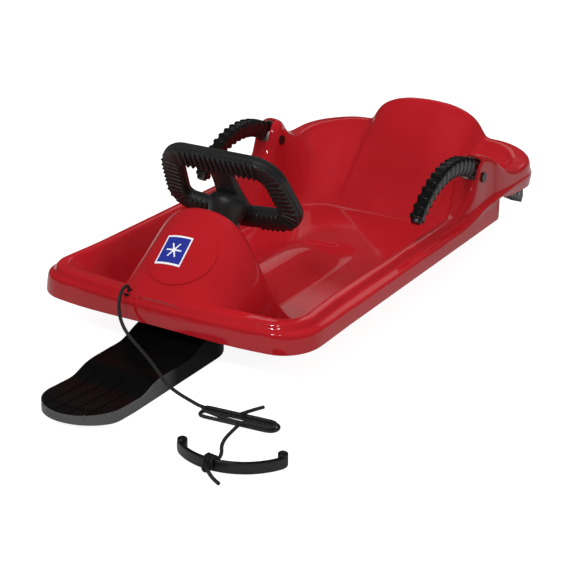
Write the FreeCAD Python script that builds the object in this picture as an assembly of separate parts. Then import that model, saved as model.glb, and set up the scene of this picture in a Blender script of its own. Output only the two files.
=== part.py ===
import FreeCAD, Part
import math
import os

from FreeCAD import Rotation, Vector

# Steering sled: a moulded red tub with a raised nose, a steering wheel that turns a front ski,
# two hand brakes with claws under the rear wing, and a tow rope that ends in a bar.
# Millimetres. X across (the +X side is the rider's left), Y backwards, Z up, floor at Z = 0.
# Positions along the sled are given as "run", counted from the tub's front corners towards the back.

# Overall sizes
TUB_LENGTH = 952.0
TUB_WIDTH = 500.0
SKI_REACH = 245.0
WALL = 3.5
HALF = TUB_WIDTH / 2
FRONT_Y = (SKI_REACH - TUB_LENGTH) / 2

# Tub outline and heights
NOSE_BOW = 14.0
FRONT_RADIUS = 62.0
REAR_RADIUS = 104.0
HEM_HEIGHT = 70.0
CORNER_HEM = 64.0
LEDGE_HEIGHT = 95.0
RIM_HEIGHT = 108.0
RIM_WIDTH = 21.0
RIM_STEP = 20.0
FLOOR_HEIGHT = 24.0
FLOOR_HALF = HALF - 80.0
FLOOR_FRONT = 85.0
FLOOR_REAR = 738.0
FLOOR_FRONT_RADIUS = 50.0
FLOOR_REAR_RADIUS = 74.0
SHOULDER_HEIGHT = 196.0
SHOULDER_FACE = 651.0
SHOULDER_RAMP = 91.0
SHOULDER_SETBACK = 16.0
SHOULDER_WIDTH = 48.0
SHOULDER_OUTER = HALF - SHOULDER_SETBACK
SHOULDER_INNER = SHOULDER_OUTER - SHOULDER_WIDTH
SKIRT_END = 719.0
WING_HEM = 92.0
WING_DIP = 136.0
WING_HEIGHT = 142.0
BACKREST_HEIGHT = 208.0
BACKREST_HALF = 120.0
RUNNER_SPACING = HALF
RUNNER_WIDTH = 24.0
RUNNER_FRONT = 232.0
RUNNER_REAR = 700.0
EDGE_LEAST = 4.0
EDGE_MOST = 12.0

# Raised nose
NOSE_HEIGHT = 219.0
NOSE_HALF = 112.0
NOSE_CREST = 131.0
NOSE_SLOPE = 0.85
NOSE_BACK_SLOPE = 2.4
NOSE_FRONT = -3.0
PAD_DIAMETER = 114.0
PAD_RUN = 62.0
PAD_RISE = 1.4
ROPE_HOLE = 9.0
ROPE_HOLE_X = -57.0
ROPE_HOLE_RUN = 5.0

# Hump between the rider's legs
HUMP_HEIGHT = 66.0
HUMP_HALF = 74.0
HUMP_FRONT = 150.0
HUMP_LEVEL = 400.0
HUMP_REAR = 575.0

# Steering column: raked axis through the hub point
RAKE = 30.0
HUB_RUN = 182.0
HUB_HEIGHT = 178.0
SHAFT_DIAMETER = 16.0
RUNNING_GAP = 0.05
FACE_GAP = 0.3
BUSH_WALL = 3.0
BUSH_FLANGE = 30.0
BUSH_FLANGE_THICK = 2.0
BUSH_LENGTH = 16.0
SLEEVE_DIAMETER = 31.0
BOSS_PLATE = -30.0
BOSS_PLATE_THICK = 4.0
SLEEVE_END = -112.0
HUB_RECESS = 34.0
WASHER_THICK = 2.0
WASHER_DIAMETER = 30.0
WEB_THICK = 4.0

# Steering wheel: a rounded trapezoid in a plane tilted forwards at the top
WHEEL_TILT = 30.0
WHEEL_RUN = 219.5
WHEEL_BASE = 165.8
WHEEL_TOP_HALF = 107.0
WHEEL_BOTTOM_HALF = 131.0
WHEEL_DEPTH = 144.0
WHEEL_CORNER = 46.0
WHEEL_LIMB = 35.0
WHEEL_THICK = 20.0
WHEEL_FACE_WALL = 4.0
WHEEL_POCKET = 9.0
WHEEL_SAG = 18.0
SPOKE_HALF = 19.0
RIB_THICK = 3.0
TOP_RIBS = 17
SIDE_RIBS = 10
SPOKE_FOOT_HALF = 34.0
HUB_DIAMETER = 48.0
HUB_HIGH = 36.0
SHAFT_TOP = 16.0

# Cross bolts of the wheel and the ski
BOLT_DIAMETER = 6.0
BOLT_HEAD = 10.0
BOLT_HEAD_THICK = 4.0
NUT_THICK = 5.0
BOLT_SEAT = 14.0
BOLT_SEAT_STAND = 1.0
WHEEL_BOLT_AT = -4.0
SKI_BOLT_AT = -138.0

# Ski
SKI_HALF = 64.0
SKI_REAR = 128.0
SKI_TIP_LIFT = 9.0
SKI_TIP_TOP = 22.0
SKI_WAIST_TOP = 17.0
SKI_DECK_TOP = 28.0
SKI_BACK_TOP = 44.0
SKI_WALL = 4.0
SKI_RAMP_START = -135.0
SKI_RAMP_END = -88.0
SKI_DECK_END = -18.0
SKI_BACK_START = 45.0
SKI_SOLE_START = -150.0
SKI_POCKET_START = -80.0
SKI_POCKET_END = 74.0
SKI_POCKET_RIBS = 3
SKI_LINES = 4
SKI_LINE_HEIGHT = 1.0
SKI_LINE_WIDTH = 1.6
SKI_LINE_END = -100.0
SKI_ARC_RADIUS = 92.0
SKI_ARC_RUN = -128.0
SOCKET_DIAMETER = 42.0
SOCKET_FLOOR = 4.0
GUSSET_THICK = 5.0
SHAFT_BOTTOM = -166.0

# Hand brakes
BRAKE_INSET = 20.0
BRAKE_X = SHOULDER_OUTER - BRAKE_INSET
PIVOT_RUN = 668.0
PIVOT_HEIGHT = 159.0
PIVOT_DIAMETER = 18.0
PIN_STAND = 2.5
PIN_INNER = SHOULDER_INNER - 2 * PIN_STAND
PIN_OUTER = SHOULDER_OUTER + PIN_STAND
ARM_THICK = 6.0
ARM_WIDTH = 16.0
ARM_BOSS = 26.0
ARM_END_RUN = 874.0
ARM_END_HEIGHT = 67.0
TANG_WIDTH = 12.0
TANG_RUN = 590.0
TANG_HEIGHT = 192.0
CLAW_LENGTH = 50.0
CLAW_OVERHANG = 18.0
CLAW_HALF_DEPTH = 13.0
CLAW_WIDTH = 24.0
CLAW_TOOTH = 6.0
CLAW_TEETH = 4
RIVET_DIAMETER = 5.0
RIVET_SPACING = 22.0
RIVET_STAND = 1.5
GRIP_WIDTH = 22.0
GRIP_ROOT = (649.0, 177.0)
GRIP_TOP = (549.0, 197.0)
GRIP_TIP = (438.0, 138.0)
GRIP_ROOT_DEPTH = 31.0
GRIP_TIP_DEPTH = 16.0
GRIP_RIBS = 13
GRIP_RIB_LENGTH = 8.0
GRIP_RIB_STAND = 2.0
SLOT_GAP = 3.0
SLOT_LOW = 158.0
SLOT_HIGH = 199.0
SLOT_REAR = 672.0
SPACER_DIAMETER = 26.0
PIN_ROOM = 5.0
SPACER_INNER = SHOULDER_INNER + PIN_ROOM
SPRING_DIAMETER = 25.0
SPRING_OUTER = SHOULDER_OUTER - PIN_ROOM - 1

# Tow rope, its hank and the bar
ROPE = 5.4
HANK_PITCH = 6.2
HANK_LENGTH = 132.0
HANK_HALF = 14.0
HANK_RISE = 5.9
HANK_LOOPS = 2
HANK_X = 205.0
HANK_RUN = -98.0
HANK_TURN = 6.0
HANK_EXIT = 24.0
HANK_EXIT_RADIUS = 12.0
ROPE_POINTS = (
    (-57.0, 5.0, 118.0),
    (-55.0, -14.0, 119.0),
    (-53.5, -27.0, 105.0),
    (-51.0, -31.0, 88.0),
    (-45.0, -34.0, 72.0),
    (-30.0, -40.0, 59.0),
    (-5.0, -51.0, 51.0),
    (35.0, -74.0, 46.0),
    (72.0, -101.0, 43.0),
    (94.0, -113.0, 36.0),
    (110.0, -109.0, 25.0),
    (124.0, -99.0, 13.0),
)
LEAD_POINTS = (
    (221.0, -141.0, 8.0),
    (222.0, -160.0, 5.6),
    (230.0, -180.0, 6.0),
    (242.0, -197.0, 7.5),
)
TAIL_POINTS = (
    (257.5, -251.0, 5.6),
    (268.5, -257.5, 3.4),
    (279.5, -262.0, 2.8),
)
LOOSE_END_POINTS = (
    (210.0, -98.0, 14.4),
    (217.0, -80.0, 14.6),
    (223.0, -58.0, 11.5),
)
BAR_LEFT = (181.5, -213.0)
BAR_MIDDLE = (247.5, -233.0)
BAR_RIGHT = (330.5, -173.0)
BAR_THICK = 6.0
BAR_HEIGHT = 18.0
BAR_END_LENGTH = 11.0
BAR_END_RISE = 4.0
BAR_HOLE = 7.0
KNOT = 15.0
KNOT_ROOM = 1.5

LABEL_WIDTH = 46.0
LABEL_LENGTH = 52.0
LABEL_THICK = 0.6
LABEL_GLUE = 0.05
LABEL_X = -13.0
LABEL_RUN = 62.0


def place(x, run, z):
    """A point given across the sled, along its run and above the floor."""
    return Vector(x, run + FRONT_Y, z)


def smooth(t):
    """Eased step from 0 to 1."""
    t = min(1.0, max(0.0, t))
    return t * t * (3 - 2 * t)


def block(x0, x1, run0, run1, z0, z1):
    """An upright box between two corners."""
    return Part.makeBox(x1 - x0, run1 - run0, z1 - z0, place(x0, run0, z0))


def mirror(shape):
    """The same piece on the other side of the sled."""
    return shape.mirror(Vector(0, 0, 0), Vector(1, 0, 0))


def side_plate(points, x0, x1):
    """A plate with a side outline given as run and height, from x0 to x1."""
    corners = [place(x0, run, z) for run, z in points]
    face = Part.Face(Part.makePolygon(corners + corners[:1]))
    return face.extrude(Vector(x1 - x0, 0, 0))


# Steering axis helpers
AXIS = Vector(0, math.sin(math.radians(RAKE)), math.cos(math.radians(RAKE)))


def on_axis(along):
    """A point on the steering axis, counted upwards from the hub point."""
    return place(0, HUB_RUN, HUB_HEIGHT) + AXIS * along


def column(diameter, low, high):
    """A cylinder on the steering axis between two places along it."""
    return Part.makeCylinder(diameter / 2, high - low, on_axis(low), AXIS)


def cross_bore(diameter, along, x0, x1):
    """A cylinder across the sled through the steering axis."""
    start = on_axis(along) + Vector(x0, 0, 0)
    return Part.makeCylinder(diameter / 2, x1 - x0, start, Vector(1, 0, 0))


def hexagon(across, thick, start, direction):
    """A hexagonal prism for bolt heads and nuts."""
    radius = across / math.sqrt(3)
    turn = Rotation(Vector(0, 0, 1), direction)
    corners = []
    for k in range(7):
        angle = math.radians(60 * k)
        corners.append(start + turn.multVec(Vector(radius * math.cos(angle), radius * math.sin(angle), 0)))
    return Part.Face(Part.makePolygon(corners)).extrude(direction * thick)


# Tub skin: a net of section profiles set round the tub's outline
FRONT_RUN = HALF - FRONT_RADIUS
BACK_RUN = HALF - REAR_RADIUS
FRONT_ARC = FRONT_RADIUS * math.pi / 2
REAR_ARC = REAR_RADIUS * math.pi / 2
SIDE_END = TUB_LENGTH - REAR_RADIUS


def front_place(x):
    """Loop position of a point on the front edge; on the sides the loop position is the run."""
    return FRONT_RADIUS - FRONT_ARC - (FRONT_RUN - x)


def back_place(x):
    """Loop position of a point on the back edge."""
    return SIDE_END + REAR_ARC + (BACK_RUN - x)


def spread(first, last, count):
    """Evenly spaced values from first up to, but not including, last."""
    return [first + (last - first) * k / count for k in range(count)]


def half_outline():
    """Points (x, run, loop position) of the tub's outline on one side, front centre to back centre."""
    points = []
    for x in spread(0, FRONT_RUN, 8):
        bow = NOSE_BOW * (1 - (x / FRONT_RUN) ** 2)
        points.append((x, -bow, front_place(x)))
    for angle in spread(0, math.pi / 2, 6):
        x = FRONT_RUN + FRONT_RADIUS * math.sin(angle)
        run = FRONT_RADIUS * (1 - math.cos(angle))
        points.append((x, run, FRONT_RADIUS - FRONT_ARC + FRONT_RADIUS * angle))
    foot = SHOULDER_FACE - SHOULDER_RAMP
    runs = spread(FRONT_RADIUS, foot, 7)
    runs += spread(foot, SKIRT_END - 14, 16)
    runs += spread(SKIRT_END - 14, SKIRT_END + 16, 8)
    runs += spread(SKIRT_END + 16, SIDE_END, 6)
    points += [(HALF, run, run) for run in runs]
    for angle in spread(0, math.pi / 2, 9):
        x = BACK_RUN + REAR_RADIUS * math.cos(angle)
        run = SIDE_END + REAR_RADIUS * math.sin(angle)
        points.append((x, run, SIDE_END + REAR_RADIUS * angle))
    for x in spread(BACK_RUN, 0, 12):
        points.append((x, TUB_LENGTH, back_place(x)))
    points.append((0, TUB_LENGTH, back_place(0)))
    return points


def stations():
    """Section sizes at named places round the loop.

    Each row: loop position, hem inset, hem height, skirt inset, ledge height, ledge inset,
    step inset, rim height, rim inner inset.
    """
    rim_in = RIM_STEP + RIM_WIDTH
    out = HALF - SHOULDER_OUTER
    inner = HALF - SHOULDER_INNER
    face = SHOULDER_FACE
    end = SKIRT_END
    hem = HEM_HEIGHT
    ledge = LEDGE_HEIGHT
    rim = RIM_HEIGHT
    top = SHOULDER_HEIGHT
    wing = WING_HEIGHT
    corner = SIDE_END + REAR_ARC / 2
    return [
        (front_place(0), 0, hem, 3, rim - 10, 4, 9, rim, rim_in),
        (front_place(FRONT_RUN), 0, CORNER_HEM, 3, rim - 11, 4, 12, rim, rim_in),
        (FRONT_RADIUS + 60, 0, hem, 3, ledge, 3, RIM_STEP, rim, rim_in),
        (face - SHOULDER_RAMP, 0, hem, 3, ledge, 3, RIM_STEP, rim, rim_in),
        (face - 40, 0, hem, 4, ledge + 4, 3, out + 2, rim + 12, inner - 14),
        (face - 12, 0, hem, 5, ledge + 9, 3, out, rim + 34, inner - 3),
        (face + 4, 0, hem, 6, ledge + 12, 2, out, top - 7, inner),
        (face + 26, 0, hem, 6, ledge + 14, 2, out, top, inner),
        (end - 6, 0, hem, 7, ledge + 17, 0, out - 2, top - 9, inner - 2),
        (end + 6, 4, WING_HEM + 16, 2, ledge + 19, 1, out - 5, top - 15, inner - 4),
        (end + 48, 4, WING_HEM + 6, 1, ledge + 20, 1, 6, WING_DIP + 16, inner - 2),
        (end + 96, 4, WING_HEM + 2, 1, ledge + 20, 1, 5, WING_DIP, inner - 6),
        (corner, 4, WING_HEM - 4, 1, ledge + 20, 1, 5, wing, inner - 12),
    ] + lobe_stations()


def lobe_stations():
    """Section sizes over the rounded backrest lobe, from its foot to the middle of the back."""
    rows = []
    for share in (1.2, 1.04, 0.97, 0.88, 0.75, 0.55, 0.3, 0.0):
        arch = max(0.0, 1 - share ** 2.4) ** 0.5
        rim = WING_HEIGHT + 6 + (BACKREST_HEIGHT - WING_HEIGHT - 6) * arch
        position = back_place(share * BACKREST_HALF)
        rows.append((position, 4, WING_HEM - 6, 1, LEDGE_HEIGHT + 20, 1, 5 + 5 * arch, rim, 46 - 6 * arch))
    return rows


def slope(rows, index, item):
    """Slope of one size at a named place: level at a high, a low or an end, else between its neighbours'."""
    if index in (0, len(rows) - 1):
        return 0.0
    before = (rows[index][item] - rows[index - 1][item]) / (rows[index][0] - rows[index - 1][0])
    after = (rows[index + 1][item] - rows[index][item]) / (rows[index + 1][0] - rows[index][0])
    if before * after <= 0:
        return 0.0
    return 2 * before * after / (before + after)


def section_sizes(position, rows):
    """Section sizes at any loop position, on a smooth curve through the named places."""
    index = 0
    while index < len(rows) - 2 and position > rows[index + 1][0]:
        index += 1
    low = rows[index]
    high = rows[index + 1]
    span = high[0] - low[0]
    t = min(1.0, max(0.0, (position - low[0]) / span))
    sizes = []
    for item in range(1, len(low)):
        rise = smooth(t)
        lead = t * (1 - t) ** 2 * span * slope(rows, index, item)
        trail = t * t * (t - 1) * span * slope(rows, index + 1, item)
        sizes.append(low[item] + (high[item] - low[item]) * rise + lead + trail)
    return sizes


def profile(sizes, reach):
    """Section points as (inset, height), from the hem over the rim and down to the floor."""
    hem_in, hem, skirt_in, ledge, ledge_in, step_in, rim, rim_in = sizes
    depth = rim - FLOOR_HEIGHT
    run = reach - rim_in
    edge = max(EDGE_LEAST, min(EDGE_MOST, (rim - ledge) * 0.3, (rim_in - step_in) * 0.3))
    tread = min(3.5, (step_in - ledge_in) / 3)
    points = [
        (hem_in, hem),
        ((hem_in + skirt_in) / 2, hem + (ledge - hem) * 0.5),
        (skirt_in, ledge - 9),
        (ledge_in, ledge - 3.5),
        (ledge_in + tread, ledge - 0.5),
        (step_in - tread, ledge + 0.5),
        (step_in - 0.5, ledge + 3),
        (step_in + 1, (ledge + rim) / 2),
        (step_in + 2, rim - edge),
        (step_in + 2 + 0.5 * edge, rim - 0.2 * edge),
        (step_in + 2 + 1.4 * edge, rim),
        (rim_in - 1.4 * edge, rim),
        (rim_in - 0.6 * edge, rim - 0.2 * edge),
        (rim_in + 0.5, rim - 1.25 * edge),
    ]
    for share in (0.2, 0.45, 0.7, 0.9):
        points.append((rim_in + run * share, FLOOR_HEIGHT + depth * (1 - share) ** 1.15))
    points.append((reach + 2, FLOOR_HEIGHT + 1.5))
    points.append((reach + 10, FLOOR_HEIGHT))
    points.append((reach + 20, FLOOR_HEIGHT))
    return points


def floor_point(x, run):
    """Nearest point of the floor's rounded outline to a point of the tub's outline (x >= 0)."""
    rear_centre = (FLOOR_HALF - FLOOR_REAR_RADIUS, FLOOR_REAR - FLOOR_REAR_RADIUS)
    front_centre = (FLOOR_HALF - FLOOR_FRONT_RADIUS, FLOOR_FRONT + FLOOR_FRONT_RADIUS)
    for centre, radius, sign in ((rear_centre, FLOOR_REAR_RADIUS, 1), (front_centre, FLOOR_FRONT_RADIUS, -1)):
        dx = x - centre[0]
        dy = run - centre[1]
        if dx > 0 and dy * sign > 0:
            length = math.hypot(dx, dy)
            return centre[0] + radius * dx / length, centre[1] + radius * dy / length
    if run > rear_centre[1]:
        return x, FLOOR_REAR
    if run < front_centre[1]:
        return x, FLOOR_FRONT
    return FLOOR_HALF, run


def tub_net():
    """Rings of control points of the tub's upper skin, hem first, all round the loop."""
    rows = stations()
    columns = []
    for x, run, position in half_outline():
        inner_x, inner_run = floor_point(x, run)
        dx = inner_x - x
        dy = inner_run - run
        reach = math.hypot(dx, dy)
        points = profile(section_sizes(position, rows), reach)
        columns.append([place(x + dx / reach * d, run + dy / reach * d, z) for d, z in points])
    mirrored = [[Vector(-p.x, p.y, p.z) for p in column_points] for column_points in columns[-2:0:-1]]
    columns += mirrored
    return [[c[j] for c in columns] for j in range(len(columns[0]))]


def lowered(net, thick):
    """The net's underside: every point moved inwards by the wall, hem sideways and floor straight down."""
    last = len(net) - 1
    count = len(net[0])
    result = []
    for j, ring in enumerate(net):
        moved = []
        for i, point in enumerate(ring):
            along = ring[(i + 1) % count] - ring[i - 1]
            across = net[min(j + 1, last)][i] - net[max(j - 1, 0)][i]
            normal = across.cross(along)
            if j == 0:
                normal.z = 0
            if j >= last - 1:
                normal = Vector(0, 0, -1)
            moved.append(point + normal.normalize() * thick)
        result.append(moved)
    return result


def ring_surface(net):
    """A smooth surface, closed round the rings, with the net as its control points."""
    poles = [list(column_points) for column_points in zip(*net)]
    around = len(poles)
    rings = len(net)
    degree = min(3, rings - 1)
    surface = Part.BSplineSurface()
    surface.buildFromPolesMultsKnots(
        poles,
        [1] * (around + 1),
        [degree + 1] + [1] * (rings - degree - 1) + [degree + 1],
        list(range(around + 1)),
        list(range(rings - degree + 1)),
        True,
        False,
        3,
        degree,
    )
    return surface


def patch_surface(grid):
    """A smooth open surface with a grid of control points."""
    rows = len(grid)
    columns = len(grid[0])
    surface = Part.BSplineSurface()
    surface.buildFromPolesMultsKnots(
        grid,
        [4] + [1] * (rows - 4) + [4],
        [4] + [1] * (columns - 4) + [4],
        list(range(rows - 2)),
        list(range(columns - 2)),
        False,
        False,
        3,
        3,
    )
    return surface


def tub_shell():
    """The tub's even-walled skin with its flat floor, as one solid."""
    net = tub_net()
    under = lowered(net, WALL)
    upper = ring_surface(net)
    lower = ring_surface(under)
    last = len(net) - 3
    upper_floor = Part.Face(Part.Wire([upper.vIso(last).toShape()]))
    lower_floor = Part.Face(Part.Wire([lower.vIso(last).toShape()]))
    hem = ring_surface([net[0], under[0]]).toShape()
    shell = Part.makeShell([upper.toShape(), lower.toShape(), upper_floor, lower_floor, hem])
    shell.sewShape()
    solid = Part.makeSolid(shell)
    if solid.Volume < 0:
        solid.reverse()
    return solid


# Raised nose
def nose_top(run):
    """Height of the nose along the middle: a front slope, a rounded crest and a steep back."""
    front = RIM_HEIGHT + NOSE_SLOPE * (run - NOSE_FRONT)
    back = NOSE_HEIGHT + 6 - NOSE_BACK_SLOPE * (run - NOSE_CREST)
    soft = 6.0
    low = min(front, back, NOSE_HEIGHT)
    total = sum(math.exp((low - value) / soft) for value in (front, back, NOSE_HEIGHT + 4))
    return low - soft * math.log(total)


def nose_shape(x):
    """Share of the nose's height left at a distance from the middle."""
    t = min(1.0, abs(x) / NOSE_HALF)
    return max(0.0, 1 - t ** 2.6) ** 0.5


def nose_height(x, run):
    """Height of the nose's outer skin; outside it the skin is sunk into the floor."""
    sunk = FLOOR_HEIGHT - WALL / 2
    return max(sunk, sunk + (nose_top(run) - sunk) * nose_shape(x))


def nose_grid():
    """Control points of the nose's outer skin, rows along the run."""
    shares = (0, 0.25, 0.45, 0.6, 0.72, 0.82, 0.9, 0.95, 1.0, 1.05, 1.12)
    across = [-share for share in shares[:0:-1]] + list(shares)
    back = NOSE_CREST + (NOSE_HEIGHT - FLOOR_HEIGHT) / NOSE_BACK_SLOPE
    runs = spread(NOSE_FRONT, NOSE_CREST - 20, 8) + spread(NOSE_CREST - 20, back + 30, 15)
    return [[place(share * NOSE_HALF, run, nose_height(share * NOSE_HALF, run)) for share in across]
            for run in runs]


def inset_grid(grid, thick):
    """The grid moved inwards by the wall, along its own normals."""
    result = []
    for j, row in enumerate(grid):
        moved = []
        for i, point in enumerate(row):
            along = row[min(i + 1, len(row) - 1)] - row[max(i - 1, 0)]
            across = grid[min(j + 1, len(grid) - 1)][i] - grid[max(j - 1, 0)][i]
            normal = across.cross(along).normalize()
            moved.append(point + normal * thick)
        result.append(moved)
    return result


def nose_solids():
    """The nose as a full form, and the hollow inside it that opens downwards."""
    drop = Vector(0, 0, -2 * NOSE_HEIGHT)
    grid = nose_grid()
    full = patch_surface(grid).toShape().extrude(drop)
    hollow = patch_surface(inset_grid(grid, WALL)).toShape().extrude(drop)
    under_rim = RIM_HEIGHT - 3 * WALL
    rear = NOSE_CREST + NOSE_HEIGHT
    keep = side_plate(
        [
            (NOSE_FRONT - 20, under_rim),
            (24, under_rim),
            (FLOOR_FRONT - 5, FLOOR_HEIGHT - WALL / 2 - 1),
            (rear, FLOOR_HEIGHT - WALL / 2 - 1),
            (rear, NOSE_HEIGHT + 40),
            (NOSE_FRONT - 20, NOSE_HEIGHT + 40),
        ],
        -2 * NOSE_HALF,
        2 * NOSE_HALF,
    )
    return full.common(keep), hollow


def label_pad():
    """The low round pad that the label sits on, square to the nose's front slope."""
    lean = math.atan(NOSE_SLOPE)
    out = Vector(0, -math.sin(lean), math.cos(lean))
    middle = place(0, PAD_RUN, nose_height(0, PAD_RUN))
    disc = Part.makeCylinder(PAD_DIAMETER / 2, 8 * WALL, middle - out * (7 * WALL), out)
    raised = patch_surface(inset_grid(nose_grid(), -PAD_RISE)).toShape().extrude(Vector(0, 0, -2 * WALL))
    return raised.common(disc)


def hump_height(x, run):
    """Height of the hump's skin between the legs; outside it the skin is sunk into the floor."""
    sunk = FLOOR_HEIGHT - WALL / 2
    side = smooth(1.25 * (1 - min(1.0, abs(x) / HUMP_HALF)))
    end = 1 - smooth((run - HUMP_LEVEL) / (HUMP_REAR - HUMP_LEVEL))
    return sunk + (HUMP_HEIGHT - sunk) * side * end


def hump_solids():
    """The hump as a full form above the floor, and the hollow inside it."""
    drop = Vector(0, 0, -2 * HUMP_HEIGHT)
    shares = [k / 7 for k in range(-8, 9)]
    runs = spread(HUMP_FRONT, HUMP_REAR + 20, 18)
    grid = [[place(share * HUMP_HALF, run, hump_height(share * HUMP_HALF, run)) for share in shares]
            for run in runs]
    full = patch_surface(grid).toShape().extrude(drop)
    hollow = patch_surface(inset_grid(grid, WALL)).toShape().extrude(drop)
    reach = 2 * HUMP_HALF
    keep = block(-reach, reach, 0, TUB_LENGTH, FLOOR_HEIGHT - WALL / 2 - 1, 2 * HUMP_HEIGHT)
    return full.common(keep), hollow


def runner(x):
    """A solid runner under the floor with a raised front end."""
    top = FLOOR_HEIGHT - WALL / 2
    points = [
        (RUNNER_FRONT, top),
        (RUNNER_FRONT, top - 6),
        (RUNNER_FRONT + 40, 0),
        (RUNNER_REAR - 20, 0),
        (RUNNER_REAR, top - 10),
        (RUNNER_REAR, top),
    ]
    return side_plate(points, x - RUNNER_WIDTH / 2, x + RUNNER_WIDTH / 2)


def brake_slot():
    """The opening in a shoulder's front face that a brake grip works in."""
    half = GRIP_WIDTH / 2 + SLOT_GAP
    return block(BRAKE_X - half, BRAKE_X + half, SHOULDER_FACE - 40, SLOT_REAR, SLOT_LOW, SLOT_HIGH)


def pivot_bore(diameter, x0, x1):
    """A cylinder on the left brake's pivot axis."""
    return Part.makeCylinder(diameter / 2, x1 - x0, place(x0, PIVOT_RUN, PIVOT_HEIGHT), Vector(1, 0, 0))


def tub():
    """The moulded tub with its nose, column sleeve, runners, slots and bores."""
    full, hollow = nose_solids()
    hump, hump_hollow = hump_solids()
    body = tub_shell().fuse(full).fuse(label_pad()).cut(hollow)
    body = body.fuse(hump).cut(hump_hollow)
    boss_low = BOSS_PLATE - BOSS_PLATE_THICK
    cup = column(2 * HUB_RECESS + 2 * WALL, boss_low, BOSS_PLATE + 90).common(full)
    sleeve = column(SLEEVE_DIAMETER, SLEEVE_END, boss_low + 1)
    side = AXIS.cross(Vector(1, 0, 0))
    web = Part.makeBox(2 * NOSE_HALF, WEB_THICK, boss_low - SLEEVE_END - 30)
    web.Placement = FreeCAD.Placement(
        on_axis(SLEEVE_END + 24) - Vector(NOSE_HALF, 0, 0) - side * (WEB_THICK / 2),
        Rotation(Vector(1, 0, 0), side, AXIS),
    )
    body = body.fuse([cup, sleeve, web.common(full)])
    half_spacing = RUNNER_SPACING / 2
    body = body.fuse([runner(half_spacing), runner(-half_spacing)])
    bush_bore = SHAFT_DIAMETER + 2 * RUNNING_GAP + 2 * BUSH_WALL
    rope_bore = Part.makeCylinder(
        ROPE_HOLE / 2, RIM_HEIGHT / 2, place(ROPE_HOLE_X, ROPE_HOLE_RUN, RIM_HEIGHT - 20), Vector(0, 0, 1)
    )
    pin = pivot_bore(PIVOT_DIAMETER, HALF - 90, HALF + 20)
    seat_foot = place(ROPE_HOLE_X, ROPE_HOLE_RUN, RIM_HEIGHT - WALL - 2 * KNOT)
    knot_seat = Part.makeCylinder(KNOT / 2 + KNOT_ROOM, 2 * KNOT, seat_foot, Vector(0, 0, 1))
    cuts = [
        knot_seat,
        column(2 * HUB_RECESS, BOSS_PLATE, BOSS_PLATE + 120),
        column(bush_bore, SLEEVE_END - 5, BOSS_PLATE + 5),
        rope_bore,
        brake_slot(),
        mirror(brake_slot()),
        pin,
        mirror(pin),
    ]
    return body.cut(cuts).Solids[0]


# Steering column
HUB_LOW = BOSS_PLATE + BUSH_FLANGE_THICK + FACE_GAP
BUSH_BORE = SHAFT_DIAMETER + 2 * RUNNING_GAP
WASHER_TOP = SLEEVE_END - BUSH_FLANGE_THICK - FACE_GAP
SOCKET_TOP = WASHER_TOP - WASHER_THICK


def bush(flange_low, body_low):
    """A flanged plain bush on the steering axis."""
    body = column(BUSH_BORE + 2 * BUSH_WALL, body_low, body_low + BUSH_LENGTH)
    flange = column(BUSH_FLANGE, flange_low, flange_low + BUSH_FLANGE_THICK)
    return body.fuse(flange).cut(column(BUSH_BORE, SLEEVE_END - 50, BOSS_PLATE + 50)).removeSplitter()


def shaft():
    """The steel shaft, drilled for the two cross bolts."""
    rod = column(SHAFT_DIAMETER, SHAFT_BOTTOM, SHAFT_TOP)
    reach = SHAFT_DIAMETER
    wheel_hole = cross_bore(BOLT_DIAMETER, WHEEL_BOLT_AT, -reach, reach)
    ski_hole = cross_bore(BOLT_DIAMETER, SKI_BOLT_AT, -reach, reach)
    return rod.cut([wheel_hole, ski_hole])


def cross_bolt(along, seat):
    """A bolt across the column: head on the left, shank through to the nut."""
    shank = cross_bore(BOLT_DIAMETER, along, -seat - NUT_THICK - 1, seat + 1)
    head = hexagon(BOLT_HEAD, BOLT_HEAD_THICK, on_axis(along) + Vector(seat, 0, 0), Vector(1, 0, 0))
    return shank.fuse(head).removeSplitter()


def cross_nut(along, seat):
    """The nut of a cross bolt, on the right."""
    nut = hexagon(BOLT_HEAD, NUT_THICK, on_axis(along) - Vector(seat, 0, 0), Vector(-1, 0, 0))
    return nut.cut(cross_bore(BOLT_DIAMETER, along, -2 * seat, 0))


WHEEL_SEAT = HUB_DIAMETER / 2 + BOLT_SEAT_STAND
SKI_SEAT = SOCKET_DIAMETER / 2 + BOLT_SEAT_STAND

# Steering wheel
WHEEL_UP = Vector(0, -math.sin(math.radians(WHEEL_TILT)), math.cos(math.radians(WHEEL_TILT)))
WHEEL_BACK = Vector(0, math.cos(math.radians(WHEEL_TILT)), math.sin(math.radians(WHEEL_TILT)))


def wheel_point(x, up, back):
    """A point in the wheel's own plane: across, up in the plane and back towards the rider."""
    return place(x, WHEEL_RUN, WHEEL_BASE) + WHEEL_UP * up + WHEEL_BACK * back


def inset_polygon(points, depth):
    """A convex polygon, listed anticlockwise, moved inwards by a depth."""
    result = []
    count = len(points)
    for k in range(count):
        before = points[k - 1]
        here = points[k]
        after = points[(k + 1) % count]
        ax, ay = unit(here[0] - before[0], here[1] - before[1])
        bx, by = unit(after[0] - here[0], after[1] - here[1])
        scale = depth / (1 + ax * bx + ay * by)
        result.append((here[0] - (ay + by) * scale, here[1] + (ax + bx) * scale))
    return result


def unit(x, y):
    """A direction of length one."""
    length = math.hypot(x, y)
    return x / length, y / length


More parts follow.
